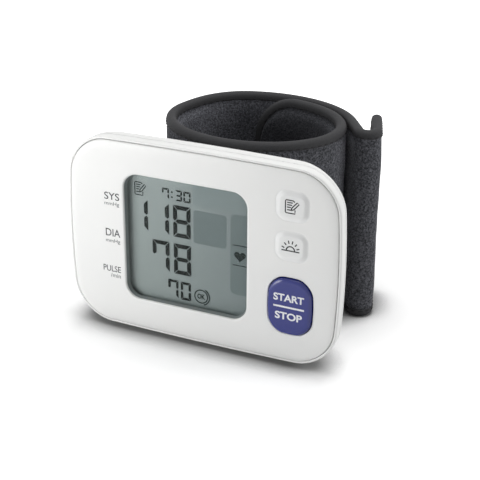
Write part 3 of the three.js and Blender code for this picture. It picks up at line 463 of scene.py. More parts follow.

# Reflective display glass: cool grey and nearly matt, with a faint mottle. Its paler left is painted light.
LCD_LEFT, LCD_RIGHT = -26, 16
MOTTLE, MOTTLE_SIZE = 0.14, 0.5
glass, tree, shader = finish("reflective_display_glass", {"Roughness": 0.32, "IOR": 1.5})
place = node(tree, "ShaderNodeTexCoord").outputs["Object"]
along = node(tree, "ShaderNodeSeparateXYZ", {0: place})
# Painted light: the glass is paler towards its left, the side the lamp falls from.
painted_light_fade = node(tree, "ShaderNodeMapRange", {
    "Value": along.outputs["X"], "From Min": at(LCD_LEFT, 0, 0).x,
    "From Max": at(LCD_RIGHT, 0, 0).x})
cells = node(tree, "ShaderNodeTexNoise", {
    "Vector": place, "Scale": 1 / (MOTTLE_SIZE * MM), "Detail": 1.0})
mottle = node(tree, "ShaderNodeMath", {0: cells.outputs["Fac"], 1: MOTTLE}, operation="MULTIPLY")
share = node(tree, "ShaderNodeMath", {0: painted_light_fade.outputs["Result"], 1: mottle.outputs[0]}, operation="ADD")
tone = node(tree, "ShaderNodeMix", {
    0: share.outputs[0], 6: linear("#A5A8A8"), 7: linear("#8A8F91")}, data_type="RGBA")
tree.links.new(tone.outputs[2], shader.inputs["Base Color"])
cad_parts["lcd_panel"].data.materials[0] = glass


def prism(bm, polygon, y, thick=INK):
    """A thin print of one closed shape."""
    front = [bm.verts.new(at(x, y - thick, z)) for x, z in polygon]
    back = [bm.verts.new(at(x, y, z)) for x, z in polygon]
    bm.faces.new(front)
    bm.faces.new(back[::-1])
    for i, corner in enumerate(front):
        j = (i + 1) % len(front)
        bm.faces.new((front[j], corner, back[i], back[j]))


def stroke(bm, points, width, y, closed=False, thick=INK):
    """A thin print of one line."""
    count = len(points)
    sections = []
    for i, (x, z) in enumerate(points):
        before = points[i - 1] if closed else points[max(i - 1, 0)]
        after = points[(i + 1) % count] if closed else points[min(i + 1, count - 1)]
        run_x, run_z = after[0] - before[0], after[1] - before[1]
        size = math.hypot(run_x, run_z)
        side_x, side_z = -run_z / size * width / 2, run_x / size * width / 2
        sections.append([
            at(x + side_x, y - thick, z + side_z), at(x - side_x, y - thick, z - side_z),
            at(x - side_x, y, z - side_z), at(x + side_x, y, z + side_z)])
    made = loft(bm, sections, closed)
    if not closed:
        bm.faces.new(made[0][::-1])
        bm.faces.new(made[-1])


def digit(bm, segments, left, low, width, height, bar, y):
    """Seven-bar figure: a top, b and c right, d bottom, e and f left, g middle."""
    gap, half = 0.07 * bar + 0.06, height / 2
    top = [(gap, height), (width - gap, height),
           (width - gap - bar, height - bar), (gap + bar, height - bar)]
    side = [(0, height - gap), (bar, height - gap - bar), (bar, half + bar / 2 + gap),
            (0.4 * bar, half + gap), (0, half + 0.4 * bar + gap)]
    middle = [(0.45 * bar + gap, half), (bar + gap, half + bar / 2),
              (width - bar - gap, half + bar / 2), (width - 0.45 * bar - gap, half),
              (width - bar - gap, half - bar / 2), (bar + gap, half - bar / 2)]
    turned = [(width - x, z) for x, z in side]
    shapes = {
        "a": top, "d": [(x, height - z) for x, z in top], "f": side, "b": turned, "g": middle,
        "e": [(x, height - z) for x, z in side], "c": [(x, height - z) for x, z in turned]}
    for name in segments:
        prism(bm, [(left + x, low + z) for x, z in shapes[name]], y)


def arc(x, z, radius, start, stop, steps):
    turns = [math.radians(start + (stop - start) * i / steps) for i in range(steps + 1)]
    return [(x + radius * math.cos(t), z + radius * math.sin(t)) for t in turns]


def notepad(bm, x, z, width, height, line, y):
    """A written page with a pencil across its corner, drawn in shares of its size."""
    def draw(*shares):
        stroke(bm, [(x + (u - 0.5) * width, z + (v - 0.5) * height) for u, v in shares], line, y)

    draw((0.72, 0.3), (0.72, 0.02), (0.06, 0.02), (0.02, 0.08),
         (0.02, 0.94), (0.06, 1.0), (0.56, 1.0), (0.7, 0.9))
    for row, stop in ((0.82, 0.54), (0.64, 0.5), (0.46, 0.42), (0.26, 0.4)):
        draw((0.14, row), (stop, row))
    draw((0.42, 0.24), (0.5, 0.46), (0.88, 0.9), (1.0, 0.78), (0.63, 0.33), (0.42, 0.24))


field_grey = ink("display_field", "#838A8C", 0.4)
painted_sheen_grey = ink("display_painted_sheen", "#9AA0A2", 0.4)
segment_grey = ink("display_segment", "#0E1211", 0.6)
FIELD, FRONT = LCD_Y - 0.02, LCD_Y - 0.08
bm = bmesh.new()
# A block of painted sheen at the top right of the glass.
prism(bm, [(x + 6.4, z + 16.8) for x, z in outline(19.2, 7.4, 1.2)], FIELD)
sheen = piece("display_painted_sheen_field", bm, painted_sheen_grey)
bm = bmesh.new()
prism(bm, [(x + 2.4, z + 6.2) for x, z in outline(11.0, 10.8, 0.9)], FIELD)
prism(bm, [(x + 12.75, z - 0.5) for x, z in outline(7.0, 26.3, 1.6)], FIELD)
fields = piece("display_fields", bm, field_grey)

COLON_X, COLON_DOT = -10.3, 0.3
FIGURES = {"0": "abcdef", "1": "bc", "3": "abcdg", "7": "abcf", "8": "abcdefg"}
bm = bmesh.new()
for figure, left, low, width, height, bar in (
    ("1", -24.6, 1.75, 5.9, 10.4, 1.35), ("1", -17.35, 1.75, 5.9, 10.4, 1.35),
    ("8", -10.0, 1.65, 5.9, 10.45, 1.35),
    ("7", -17.3, -10.75, 5.8, 10.15, 1.3), ("8", -9.95, -10.85, 5.9, 10.2, 1.35),
    ("7", -12.1, -19.3, 3.55, 6.15, 0.8), ("0", -7.7, -19.4, 3.5, 6.15, 0.8),
    ("7", -13.65, 13.6, 2.35, 3.5, 0.52), ("3", -9.2, 13.55, 2.3, 3.5, 0.52),
    ("0", -6.4, 13.5, 2.35, 3.5, 0.52),
):
    digit(bm, FIGURES[figure], left, low, width, height, bar, FRONT)
for z in (14.5, 16.1):
    prism(bm, arc(COLON_X, z, COLON_DOT, 0, 330, 11), FRONT)
figures = piece("display_figures", bm, segment_grey)

heart_x, heart_z, heart_size = 12.4, -0.75, 1.9
OK_X, OK_Z = -0.65, -16.95
bm = bmesh.new()
notepad(bm, -21.15, 15.35, 3.9, 4.2, 0.3, FRONT)
stroke(bm, arc(OK_X, OK_Z, 2.2, 0, 354, 59), 0.36, FRONT, closed=True)
stroke(bm, arc(OK_X, OK_Z, 2.85, 62, -72, 26), 0.38, FRONT)
beat = []
for i in range(48):
    turn = 2 * math.pi * i / 48
    beat.append((
        heart_x + heart_size * math.sin(turn) ** 3,
        heart_z + heart_size / 16 * (
            13 * math.cos(turn) - 5 * math.cos(2 * turn) - 2 * math.cos(3 * turn) - math.cos(4 * turn))))
prism(bm, beat, FRONT)
for z in (2.75, -3.8):
    stroke(bm, [(10.1, z), (16.1, z)], 0.3, FRONT)
mark_grey = ink("display_mark", "#2E3433", 0.6)
marks = piece("display_marks", bm, mark_grey)
ok_mark = words("display_ok", "OK", (-1.95, -17.8), (0.7, -16.05), FRONT, mark_grey, 0.035)
for part in (sheen, fields, figures, marks, ok_mark):
    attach(part, "monitor")

# Start button
# A large blue ABS key cap with a rolled edge, held by a flange behind the face, printed white.
# The ink is raised a little, as two passes of pad printing leave it.
START_PROUD = 1.0
KEY_SEAT = 1.8
FLANGE = [(KEY_SEAT, 0), (KEY_SEAT, 0.9), (KEY_SEAT + 0.6, 0.9)]


def grained(name, sockets, grain, light, dark, strength, depth):
    """A finish that its grain mottles between two tones and dents, with sizes in millimetres."""
    look, tree, shader = finish(name, sockets)
    place = node(tree, "ShaderNodeTexCoord").outputs["Object"]
    pits = node(tree, "ShaderNodeTexNoise", {
        "Vector": place, "Scale": 1 / (grain * MM), "Detail": 3.0}).outputs["Fac"]
    tone = node(tree, "ShaderNodeMix", {0: pits, 6: light, 7: dark}, data_type="RGBA")
    tree.links.new(tone.outputs[2], shader.inputs["Base Color"])
    bump = node(tree, "ShaderNodeBump", {"Height": pits, "Strength": strength, "Distance": depth * MM})
    tree.links.new(bump.outputs["Normal"], shader.inputs["Normal"])
    return look, tree, shader, pits


# Polished blue ABS: deep and even, smooth enough for a soft highlight along the rolled edge.
# Its grain too is drawn coarser than the real one.
BLUE_GRAIN = 0.4
BLUE_SHINY, BLUE_DULL = 0.14, 0.22
blue, tree, shader, pits = grained(
    "satin_blue_abs", {"IOR": ABS_IOR}, BLUE_GRAIN, linear("#252F81"), linear("#202978"), 0.2, PIT_DEPTH)
gloss = node(tree, "ShaderNodeMapRange", {"Value": pits, "To Min": BLUE_SHINY, "To Max": BLUE_DULL})
tree.links.new(gloss.outputs["Result"], shader.inputs["Roughness"])


def solid_of(loops):
    """A solid through loops of points, closed flat at both ends."""
    bm = bmesh.new()
    made = loft(bm, loops)
    cap(bm, made[0])
    cap(bm, made[-1])
    return bm


def cap_of(size, bow, z, profile):
    """A key cap from its crown down to its flange, as (depth, growth) round its outline."""
    return solid_of([ring(grown(size, grow, bow), y, BUTTON_X, z) for y, grow in profile])


START_ROLL = 1.5
ROLL_DEPTH = 0.85
profile = [(-START_PROUD, -START_ROLL - FLAT_STEP)]
for step in range(10):
    turn = math.radians(10 * step)
    profile.append((-START_PROUD + ROLL_DEPTH * (1 - math.cos(turn)), -START_ROLL * (1 - math.sin(turn))))
profile += FLANGE
start = piece("start_cap", cap_of(START, START_BOW, START_Z, profile), blue)
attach(start, "start_button")
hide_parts("start_button")
white_ink = ink("white_button_ink", "#F6F7FB", 0.5)
start_word = words("start_word", "START", (25.15, -10.4), (34.9, -8.0), -START_PROUD, white_ink, 0.03)
stop_word = words("stop_word", "STOP", (25.75, -16.4), (34.4, -13.95), -START_PROUD, white_ink, 0.03)
bm = bmesh.new()
stroke(bm, [(25.15, -12.2), (34.95, -12.2)], 0.6, -START_PROUD)
start_bar = piece("start_bar", bm, white_ink)
for part in (start_word, stop_word, start_bar):
    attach(part, "start_button")

# Soft keys
# Two white silicone keys that swell out of the face, with a thin web that closes their holes.
# Each carries a printed picture: a notepad for the memory and a rising sun for mornings.
# Silicone: the face's white, but duller, so its slopes shade softly.
KEY_PROUD = 0.58
key_white = white_abs("soft_white_silicone", "#EEEFEE", "#E9EAEA", 0.5, 0.35)
KEY_SLOPE = 1.8
KEY_FIT = 0.012
KEY_FOOT = 0.04
profile = [(-KEY_PROUD, HOLE_GAP - KEY_FIT - KEY_SLOPE - FLAT_STEP)]
for step in range(13):
    share = step / 12
    profile.append((
        -KEY_PROUD + (KEY_PROUD + KEY_FOOT) * share * share * (3 - 2 * share),
        HOLE_GAP - KEY_FIT - KEY_SLOPE * (1 - share)))
profile += [(0.5, HOLE_GAP - KEY_FIT), (0.6, 0)] + FLANGE
picture_ink = ink("dark_picture_ink", "#242528", 0.55)
pictures = {}
for name, z in KEY_PLACES.items():
    key = piece(f"{name}_key", cap_of(KEY, 0, z, profile), key_white)
    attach(key, f"{name}_button")
    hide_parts(f"{name}_button")
bm = bmesh.new()
notepad(bm, 30.15, 19.75, 4.25, 4.05, 0.34, -KEY_PROUD)
pictures["memory"] = piece("memory_picture", bm, picture_ink)
SUN_X, SUN_Z, SUN_LINE = 30.0, 6.1, 0.36
bm = bmesh.new()
stroke(bm, [(27.2, 6.0), (32.8, 6.0)], SUN_LINE, -KEY_PROUD)
stroke(bm, arc(SUN_X, SUN_Z, 1.3, 0, 180, 18), SUN_LINE, -KEY_PROUD)
for turn in (18, 47, 76, 104, 133, 162):
    ray_x, ray_z = math.cos(math.radians(turn)), math.sin(math.radians(turn))
    stroke(bm, [(SUN_X + r * ray_x, SUN_Z + 1.1 * r * ray_z) for r in (2.0, 2.9)], SUN_LINE, -KEY_PROUD)
pictures["morning"] = piece("morning_picture", bm, picture_ink)
for name, part in pictures.items():
    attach(part, f"{name}_button")

# Rear case and battery cover
# White ABS like the face, from a duller tool: a shell that tapers to the wrist, with a lobe for
# the cells and one for the pump. The cover slides over the cells on two tongues in the lobe.
rear_white = white_abs("textured_white_abs", "#F0F0EE", "#EBECEB", 0.42, 0.15)
REAR_WALL = 1.4
REAR_BACK = 12.4
REAR_TAPER = ((3.6, 0, 0), (5.58, 0.6, 0), (8.68, 4, 0.9), (10.91, 9.5, 3.4), (REAR_BACK, 16, 7.5))
LOBE_CORNER = 4.0
BAY_Z = -1.0
BATTERY_LOBE = (24.5, 53.3, 1.4, 5.6, 18.9, -32.2, BAY_Z)
PUMP_LOBE = (13.6, 30.3, 2.8, 6.6, 18.5, 29.1, -12.05)
COVER_RIGHT = -20.6
HOLLOW_BAY = (-60, -19.95, 5.6, 14, 26.65)
CELL_BAY = (-43.15, -21.25, 6.4, 20, 24.65)
COVER_OPENING = (-46, COVER_RIGHT, 17.2, 20, 24.95)
COVER_GROOVES = (-46, COVER_RIGHT, 17.2, 18.5, 25.65)
PUMP_ROOM = (23.7, 34.5, 6.6, 17.1, -25.8, 1.7)
SCREWS = [(x, z) for x in (-14.55, 21.0) for z in (27.1, -27.1)]
BOSS, SCREW_HOLE, SCREW_WELL = (3.6, 5.6, 14), (1.3, 4.6, 8.4), (2.2, 7.4, 13.4)
SADDLE_SCREWS = [(x, z) for x in (-8.7, 11.3) for z in (18, -18)]
SADDLE_HOLE = (1.3, 5, 13.4)
AIR_HOLE = (2.1, 5, 13.4, 1.3, 0)


def rear_shell(wall):
    """The tapered shell as a closed skin, drawn smoothly through its taper."""
    taper = [(min(y, REAR_BACK - wall), wall + side, wall + end) for y, side, end in REAR_TAPER]
    before, after = taper[0], tuple(2 * a - b for a, b in zip(taper[-1], taper[-2]))
    knots = np.array([(before[0] - 1.5, *before[1:]), *taper, after])
    rows = [knots[0] if wall else knots[1]]
    for i in range(1, len(knots) - 2):
        a, b, c, d = knots[i - 1:i + 3]
        for t in np.arange(1, 7) / 6:
            rows.append(0.5 * (2 * b + (c - a) * t + (2 * a - 5 * b + 4 * c - d) * t ** 2
                               + (3 * b - a - 3 * c + d) * t ** 3))
    return solid_of([
        unit_ring(min(y, REAR_BACK - wall), max(side, wall), max(end, wall)) for y, side, end in rows])


def lobe(width, height, rounding, low, high, x, z):
    """A block with upright round corners and a rolled back edge."""
    rows = [(low, 0)]
    for step in range(9):
        turn = math.radians(90 * step / 8)
        rows.append((high - rounding * (1 - math.sin(turn)), rounding * (1 - math.cos(turn))))
    return solid_of([ring(outline(
        width - 2 * inset, height - 2 * inset, LOBE_CORNER - inset / 2), y, x, z) for y, inset in rows])


def block(points, y_low, y_high, x=0.0, z=0.0):
    """A plain block of space to cut away, as one shape drawn back from y_low to y_high."""
    bm = bmesh.new()
    for end in loft(bm, [ring(points, y, x, z) for y in (y_low, y_high)]):
        bm.faces.new(end)
    return bm


def room(x_low, x_high, y_low, y_high, z_low, z_high):
    return block([(x_low, z_low), (x_high, z_low), (x_high, z_high), (x_low, z_high)], y_low, y_high)


def bay(x_low, x_high, y_low, y_high, half):
    return room(x_low, x_high, y_low, y_high, BAY_Z - half, BAY_Z + half)


def drilled(radius, y_low, y_high, x, z):
    return block(arc(0, 0, radius, 0, 350, 35), y_low, y_high, x, z)


def worked(first, joined, cut):
    """A solid with others joined to it and then others cut out of it."""
    made = piece("work", first)
    for way, bm in [("UNION", bm) for bm in joined] + [("DIFFERENCE", bm) for bm in cut]:
        tool = piece("tool", bm)
        work = made.modifiers.new("work", "BOOLEAN")
        work.operation, work.object, work.solver = way, tool, "EXACT"
        ready = made.evaluated_get(bpy.context.evaluated_depsgraph_get())
        old, made.data = made.data, bpy.data.meshes.new_from_object(ready)
        made.modifiers.clear()
        bpy.data.meshes.remove(old)
        bpy.data.objects.remove(tool)
    bm = bmesh.new()
    bm.from_mesh(made.data)
    bpy.data.objects.remove(made)
    return bm


kept_solid = [bay(*HOLLOW_BAY)] + [drilled(*BOSS, *place) for place in SCREWS]
cuts = [worked(rear_shell(REAR_WALL), [], kept_solid), room(*PUMP_ROOM)]
for place in SCREWS:
    cuts += [drilled(*SCREW_HOLE, *place), drilled(*SCREW_WELL, *place)]
cuts += [drilled(*SADDLE_HOLE, *place) for place in SADDLE_SCREWS]
cuts += [drilled(*AIR_HOLE), bay(*CELL_BAY), bay(*COVER_OPENING), bay(*COVER_GROOVES)]
bm = worked(rear_shell(0), [lobe(*BATTERY_LOBE), lobe(*PUMP_LOBE)], cuts)
rear = piece("rear_shell", bm, rear_white, crease=25)
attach(rear, "monitor")
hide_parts("rear_case")

# Screws and what is inside
# Plated steel screws in deep wells, and the parts that the case hides until it is opened.
# Each is its own solid, in the metal, plastic, rubber or film that such a part is made of.
TOOTH_SHADE = 0.82
TOOTH_DEPTH = 0.03


def brushed(name, colour, roughness, streak):
    """Plated or drawn metal: bright, with its gloss streaked along its length."""
    look, tree, shader = finish(name, {"Base Color": linear(colour), "Metallic": 1.0})
    place = node(tree, "ShaderNodeTexCoord").outputs["Object"]
    drawn = node(tree, "ShaderNodeMapping", {"Vector": place, "Scale": (1, 1, 0.08)})
    lines = node(tree, "ShaderNodeTexNoise", {
        "Vector": drawn.outputs[0], "Scale": 1 / (streak * MM), "Detail": 3.0})
    gloss = node(tree, "ShaderNodeMapRange", {
        "Value": lines.outputs["Fac"], "To Min": roughness - 0.1, "To Max": roughness + 0.12})
    tree.links.new(gloss.outputs["Result"], shader.inputs["Roughness"])
    return look


def moulded(name, colour, roughness, grain):
    """Plain plastic, rubber or film: one colour, darker in the hollows of a fine tooth."""
    dark = [TOOTH_SHADE * c for c in linear(colour)[:3]] + [1.0]
    return grained(name, {"Roughness": roughness}, grain, linear(colour), dark, 0.3, TOOTH_DEPTH)[0]


plated = brushed("plated_steel", "#B9BCBF", 0.34, 0.3)
dressed = {
    rear_white: ["battery_cover", "air_nipple"],
    plated: ["pump_motor", "exhaust_valve"] + [
        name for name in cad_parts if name.startswith(("case_screw", "saddle_screw", "contact_"))],
    moulded("grey_abs", "#A9ACAE", 0.5, 0.5): [
        "cuff_saddle", "lcd_holder", "pressure_sensor", "start_switch", "morning_switch", "memory_switch"],
    moulded("black_rubber", "#232427", 0.75, 0.4): ["zebra_strip", "pump_head"],
    moulded("green_solder_resist", "#1F5A3A", 0.4, 1.4): ["main_board"],
    moulded("milky_silicone", "#D6D7D2", 0.45, 0.8): ["pump_line", "valve_line"],
    moulded("dark_cell_sleeve", "#303338", 0.35, 0.9): ["battery_1", "battery_2"],
    moulded("clear_curler_sheet", "#C4C9CC", 0.35, 1.2): ["cuff_curler"],
    moulded("grey_bladder_film", "#868B90", 0.5, 1.0): ["cuff_bladder"],
}
for look, names in dressed.items():
    for name in names:
        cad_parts[name].data.materials[0] = look

# Cuff body
# A padded band: loop-pile nylon outside, brushed lining inside, the air bladder between them.
# It runs from the flap end round the wrist, laps over the flap and leaves as a curled tail.
CUFF_HEIGHT = 64.0
CUFF_THICK = 4.0
TAIL_THICK = 3.0
RING_X = 1.3
RING_HALF_WIDTH = 27.1
RING_HALF_DEPTH = 22.5
RING_FRONT = 15.93
LAP_GAP = 0.9
FLAP_ANGLE = 110
LAP_START, LAP_END = 170, 116
HINGE_ANGLE = 174
LEAVE_ANGLE = 28
TAIL_RUN = 10.25
TAIL_RADIUS = 2.8
TAIL_TURN = 166
TAIL_END = 17.5
FLAP_CORNER = 14.0
TAIL_CORNER = 5.0


def ease(value, low, high):
    share = np.clip((value - low) / (high - low), 0, 1)
    return share * share * (3 - 2 * share)


turns = np.arange(FLAP_ANGLE, LEAVE_ANGLE - 360 - 0.5, -1.0)
cos, sin = np.cos(np.radians(turns)), np.sin(np.radians(turns))
normal = np.stack([RING_HALF_DEPTH * cos, RING_HALF_WIDTH * sin], 1)
normal /= np.linalg.norm(normal, axis=1)[:, None]
lap = ease(-turns, 360 - LAP_START, 360 - LAP_END) * ((CUFF_THICK + TAIL_THICK) / 2 + LAP_GAP)
route = np.stack([
    RING_X + RING_HALF_WIDTH * cos + lap * normal[:, 0],
    RING_FRONT + RING_HALF_DEPTH * (1 + sin) + lap * normal[:, 1]], 1)
heading = route[-1] - route[-2]
heading /= np.linalg.norm(heading)
leaving = np.arctan2(heading[1], heading[0])
run = route[-1] + np.linspace(0, TAIL_RUN, 12)[1:, None] * heading
bend = run[-1] + TAIL_RADIUS * np.array([-heading[1], heading[0]])
swing = leaving - math.pi / 2 + np.radians(np.linspace(0, TAIL_TURN, 40)[1:])
curl = bend + TAIL_RADIUS * np.stack([np.cos(swing), np.sin(swing)], 1)
last = leaving + math.radians(TAIL_TURN)
end = curl[-1] + np.linspace(0, TAIL_END, 16)[1:, None] * np.array([math.cos(last), math.sin(last)])
route = np.concatenate([route, run, curl, end])
steps = np.diff(route, axis=0)
travel = np.concatenate([[0], np.cumsum(np.linalg.norm(steps, axis=1))])
bearing = np.unwrap(np.arctan2(steps[:, 1], steps[:, 0]))
middles = (travel[1:] + travel[:-1]) / 2
cuff_end = float(travel[-1])


def at_turn(angle):
    """How far along the cuff an angle round the ring is reached, the second time where it laps."""
    return float(np.interp(360 - angle, -turns, travel[:len(turns)]))


hinge_s, lapped_s = at_turn(HINGE_ANGLE), at_turn(LAP_END)


def half_at(s):
    """Half the cuff's thickness: past the hinge there is no bladder."""
    return (CUFF_THICK - ease(s, hinge_s, lapped_s) * (CUFF_THICK - TAIL_THICK)) / 2


TAPE = 2.6
RIM_PINCH = 1.1
PINCH_DEPTH = 2.6


def inner_at(s, rim):
    """The thickness on the inside, which the sewn edge pinches wherever there is padding."""
    half = half_at(s)
    padding = (2 * half - TAIL_THICK) / (CUFF_THICK - TAIL_THICK)
    return half - RIM_PINCH * padding * (1 - ease(rim, TAPE, TAPE + PINCH_DEPTH))


def cuff_at(s, out, z):
    """A place in the cuff: along it, outwards from its middle, and up from the table."""
    turn = np.interp(s, middles, bearing)
    x = np.interp(s, travel, route[:, 0]) - math.sin(turn) * out
    y = np.interp(s, travel, route[:, 1]) + math.cos(turn) * out
    return Vector((x * MM, face_y + y * MM, z * MM))


TUCK = 2.0
ROWS = 53
PUFF, PUFF_REACH = 0.3, 2.2
SEAM_SINK = 0.12
RIPPLE_REACH = 6
INSIDE_SHIFT = 40
FAR_OFF = 99
PACE, TAIL_PACE = 1.1, 0.8


def drop_at(s, inset):
    """How far a free end's round corner brings the edge down."""
    fall = 0.0
    for corner, gone in ((FLAP_CORNER, s - inset), (TAIL_CORNER, cuff_end - inset - s)):
        radius = corner - inset
        if gone < radius:
            fall = radius - math.sqrt(max(radius ** 2 - (radius - max(gone, 0)) ** 2, 0))
    return fall


def stations(start, stop, inset, pace):
    """Places along a stretch, closer together round a free end's corners."""
    first = inset if start <= 0 else start
    final = cuff_end - inset if stop >= cuff_end else stop
    places = list(np.linspace(first, final, int((final - first) / pace) + 2))
    for free, corner, sign in ((start <= 0, FLAP_CORNER, 1), (stop >= cuff_end, TAIL_CORNER, -1)):
        if free:
            edge = first if sign > 0 else final
            radius = corner - inset
            places = [s for s in places if sign * (s - edge) > radius]
            places += [edge + sign * radius * (1 - math.cos(a)) for a in np.linspace(0, math.pi / 2, 16)]
    return sorted(places)


def ripple(s, z):
    """The cloth's own unevenness."""
    return (0.10 * math.sin(s / 4.1 + 1.3) * math.sin(z / 7.3 + 0.4)
            + 0.07 * math.sin(s / 1.9 + z / 5.2) + 0.05 * math.sin(z / 2.3 - s / 3.1))


def cuff_loops(start, stop, pace):
    """Cross-sections of the padded band, up the outside and down the inside."""
    loops = []
    for s in stations(start, stop, TUCK, pace):
        fall = drop_at(s, TUCK)
        low, high = TUCK + fall, CUFF_HEIGHT - TUCK - fall
        half = half_at(s)
        heights = np.linspace(low, high, ROWS)
        rim = np.minimum(heights - low, high - heights)
        ends = min([s - TUCK] * (start <= 0) + [cuff_end - TUCK - s] * (stop >= cuff_end) + [FAR_OFF])
        swell = PUFF * (1 - np.exp(-np.minimum(rim, ends) / PUFF_REACH)) - SEAM_SINK
        outer, inner = [], []
        for z, p, r in zip(heights, swell, rim):
            share = min(r, RIPPLE_REACH) / RIPPLE_REACH
            outer.append((s, half + p + ripple(s, z) * share, z))
            inner.append((s, -inner_at(s, r + TUCK) - p - ripple(s + INSIDE_SHIFT, z) * share, z))
        loops.append(outer + inner[::-1])
    return loops


FLECK_LOW, FLECK_HIGH = 0.4, 0.67
KNOT_DEPTH = 0.25


def cuff_cloth(name, dark, pale, fleck, knot, sheen):
    """Nylon cloth: charcoal, dull, with paler flecks: heathered yarn and painted glints where its loops
    catch the light.
    """
    look, tree, shader = finish(name, {
        "Roughness": 0.95, "Specular IOR Level": 0.2, "Sheen Weight": sheen, "Sheen Roughness": 0.4,
        "Sheen Tint": linear("#B9BAC2")})
    place = node(tree, "ShaderNodeTexCoord").outputs["Object"]
    loops = node(tree, "ShaderNodeTexNoise", {
        "Vector": place, "Scale": 1 / (fleck * MM), "Detail": 4.0, "Roughness": 0.7})
    # The paler flecks are partly heathered yarn and partly painted glints.
    sharper = node(tree, "ShaderNodeMapRange", {
        "Value": loops.outputs["Fac"], "From Min": FLECK_LOW, "From Max": FLECK_HIGH})
    tone = node(tree, "ShaderNodeMix", {
        0: sharper.outputs["Result"], 6: linear(dark), 7: linear(pale)}, data_type="RGBA")
    tree.links.new(tone.outputs[2], shader.inputs["Base Color"])
    knots = node(tree, "ShaderNodeTexVoronoi", {"Vector": place, "Scale": 1 / (knot * MM)})
    bump = node(tree, "ShaderNodeBump", {
        "Height": knots.outputs["Distance"], "Strength": 0.8, "Distance": KNOT_DEPTH * MM}, invert=True)
    tree.links.new(bump.outputs["Normal"], shader.inputs["Normal"])
    return look


pile_cloth = cuff_cloth("charcoal_loop_pile", "#2C2D30", "#6E6F75", 0.62, 0.7, 0.3)
lining_cloth = cuff_cloth("charcoal_brushed_lining", "#414246", "#7E7F86", 0.55, 0.45, 0.25)
# The lining over the flap's inside is a darker copy of the lining cloth: painted shade.
flap_painted_shade_cloth = cuff_cloth("lining_painted_shade", "#343538", "#57585D", 0.55, 0.45, 0.12)
PAINTED_SHADE_REACH = 50.0

# The cuff is sewn in one length and made here in three, cut where a joint's body begins.
SPLIT_LEFT = at_turn(210)
SPLIT_BACK = at_turn(96)
STRETCHES = {
    "ring": (0.0, SPLIT_LEFT, ("cuff_fabric", "cuff_lining")),
    "wrap": (SPLIT_LEFT, SPLIT_BACK, ("wrap_fabric", "wrap_pad")),
    "tail": (SPLIT_BACK, cuff_end, ("tail_fabric", "tail_hook_pad")),
}


def carry(part, stretch):
    """Rides the ring on the unit, and leaves the others where they are, their places baked into their
    meshes.
    """
    if stretch == "ring":
        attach(part, "monitor")
    elif stretch == "wrap":
        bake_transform(part)
    else:
        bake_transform(part)


for stretch, (start, stop, stands_for) in STRETCHES.items():
    bm = bmesh.new()
    loops = cuff_loops(start, stop, TAIL_PACE if stretch == "tail" else PACE)
    made = loft(bm, [[cuff_at(*p) for p in loop] for loop in loops])
    count = len(made[0])
    for ends in (made[0], made[-1]):
        for i in range(count // 2 - 1):
            bm.faces.new((ends[i], ends[i + 1], ends[count - 2 - i], ends[count - 1 - i]))
    inside = set(v for loop in made for v in loop[count // 2:])
    # Inside faces over the flap take the darker copy of the lining, as painted shade.
    flap = set(v for loop, row in zip(made, loops) if row[0][0] < PAINTED_SHADE_REACH for v in loop)
    for side in bm.faces:
        if all(v in inside for v in side.verts):
            side.material_index = 2 if all(v in flap for v in side.verts) else 1
    looks = {"ring": (lining_cloth, flap_painted_shade_cloth), "wrap": (lining_cloth,), "tail": (pile_cloth,)}[stretch]
    body = piece(f"{stretch}_body", bm, pile_cloth, *looks, crease=60)
    carry(body, stretch)
    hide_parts(*stands_for)

# Binding
# Dark polyester tape with a fine weave, folded over the cuff's edge and sewn through both faces.
# One length goes along the top, round a free end and back along the bottom.
# The polyester is nearly black and dull, with just enough tooth to look woven.
TAPE_WEAVE, WEAVE_DEPTH = 0.35, 0.08
EDGING_PACE = 0.9
tape = grained(
    "satin_binding_tape", {"Roughness": 0.7, "Specular IOR Level": 0.12}, TAPE_WEAVE,
    linear("#333334"), linear("#454547"), 0.5, WEAVE_DEPTH)[0]


def rim_route(start, stop, pace):
    """The cuff's edge as (along, up, inward along, inward up): top, free end, bottom."""
    free_start, free_stop = start <= 0, stop >= cuff_end
    first = FLAP_CORNER if free_start else start
    final = cuff_end - TAIL_CORNER if free_stop else stop
    count = int((final - first) / pace) + 2
    path = [(s, CUFF_HEIGHT, 0.0, -1.0) for s in np.linspace(first, final, count)]
    if not (free_start or free_stop):
        return path
    corner, sign, middle = (FLAP_CORNER, -1, first) if free_start else (TAIL_CORNER, 1, final)
    path = path[::sign]
    for a in np.linspace(0, math.pi / 2, 14)[1:]:
        path.append((middle + sign * corner * math.sin(a), CUFF_HEIGHT - corner * (1 - math.cos(a)),
                     -sign * math.sin(a), -math.cos(a)))
    heights = np.linspace(CUFF_HEIGHT - corner, corner, 30)[1:-1]
    upright = [(middle + sign * corner, z, -sign * 1.0, 0.0) for z in heights]
    bottom = [(s, CUFF_HEIGHT - z, in_s, -in_z) for s, z, in_s, in_z in path[::-1]]
    return path + upright + bottom


TAPE_FOLD, TAPE_PROUD = 1.2, 0.16


def tape_section(s, sway):
    """The folded tape in section as (inward, outward), round the rim and back inside."""
    outer, inner = half_at(s), inner_at(s, 0)
    half, middle = (outer + inner) / 2, (outer - inner) / 2
    face = [(TAPE, half - 0.1), (TAPE + sway, half + 0.14), (TAPE - 0.15 + sway, half + 0.26),
            (2.1, half + 0.22), (1.7, half + 0.28)]
    for a in np.radians((10, 28, 46, 64, 80)):
        face.append((TAPE_FOLD * (1 - math.sin(a)), (half + TAPE_PROUD) * math.cos(a)))
    return [(inward, middle + out) for inward, out in face] + [
        (inward, middle - out) for inward, out in face[::-1]]


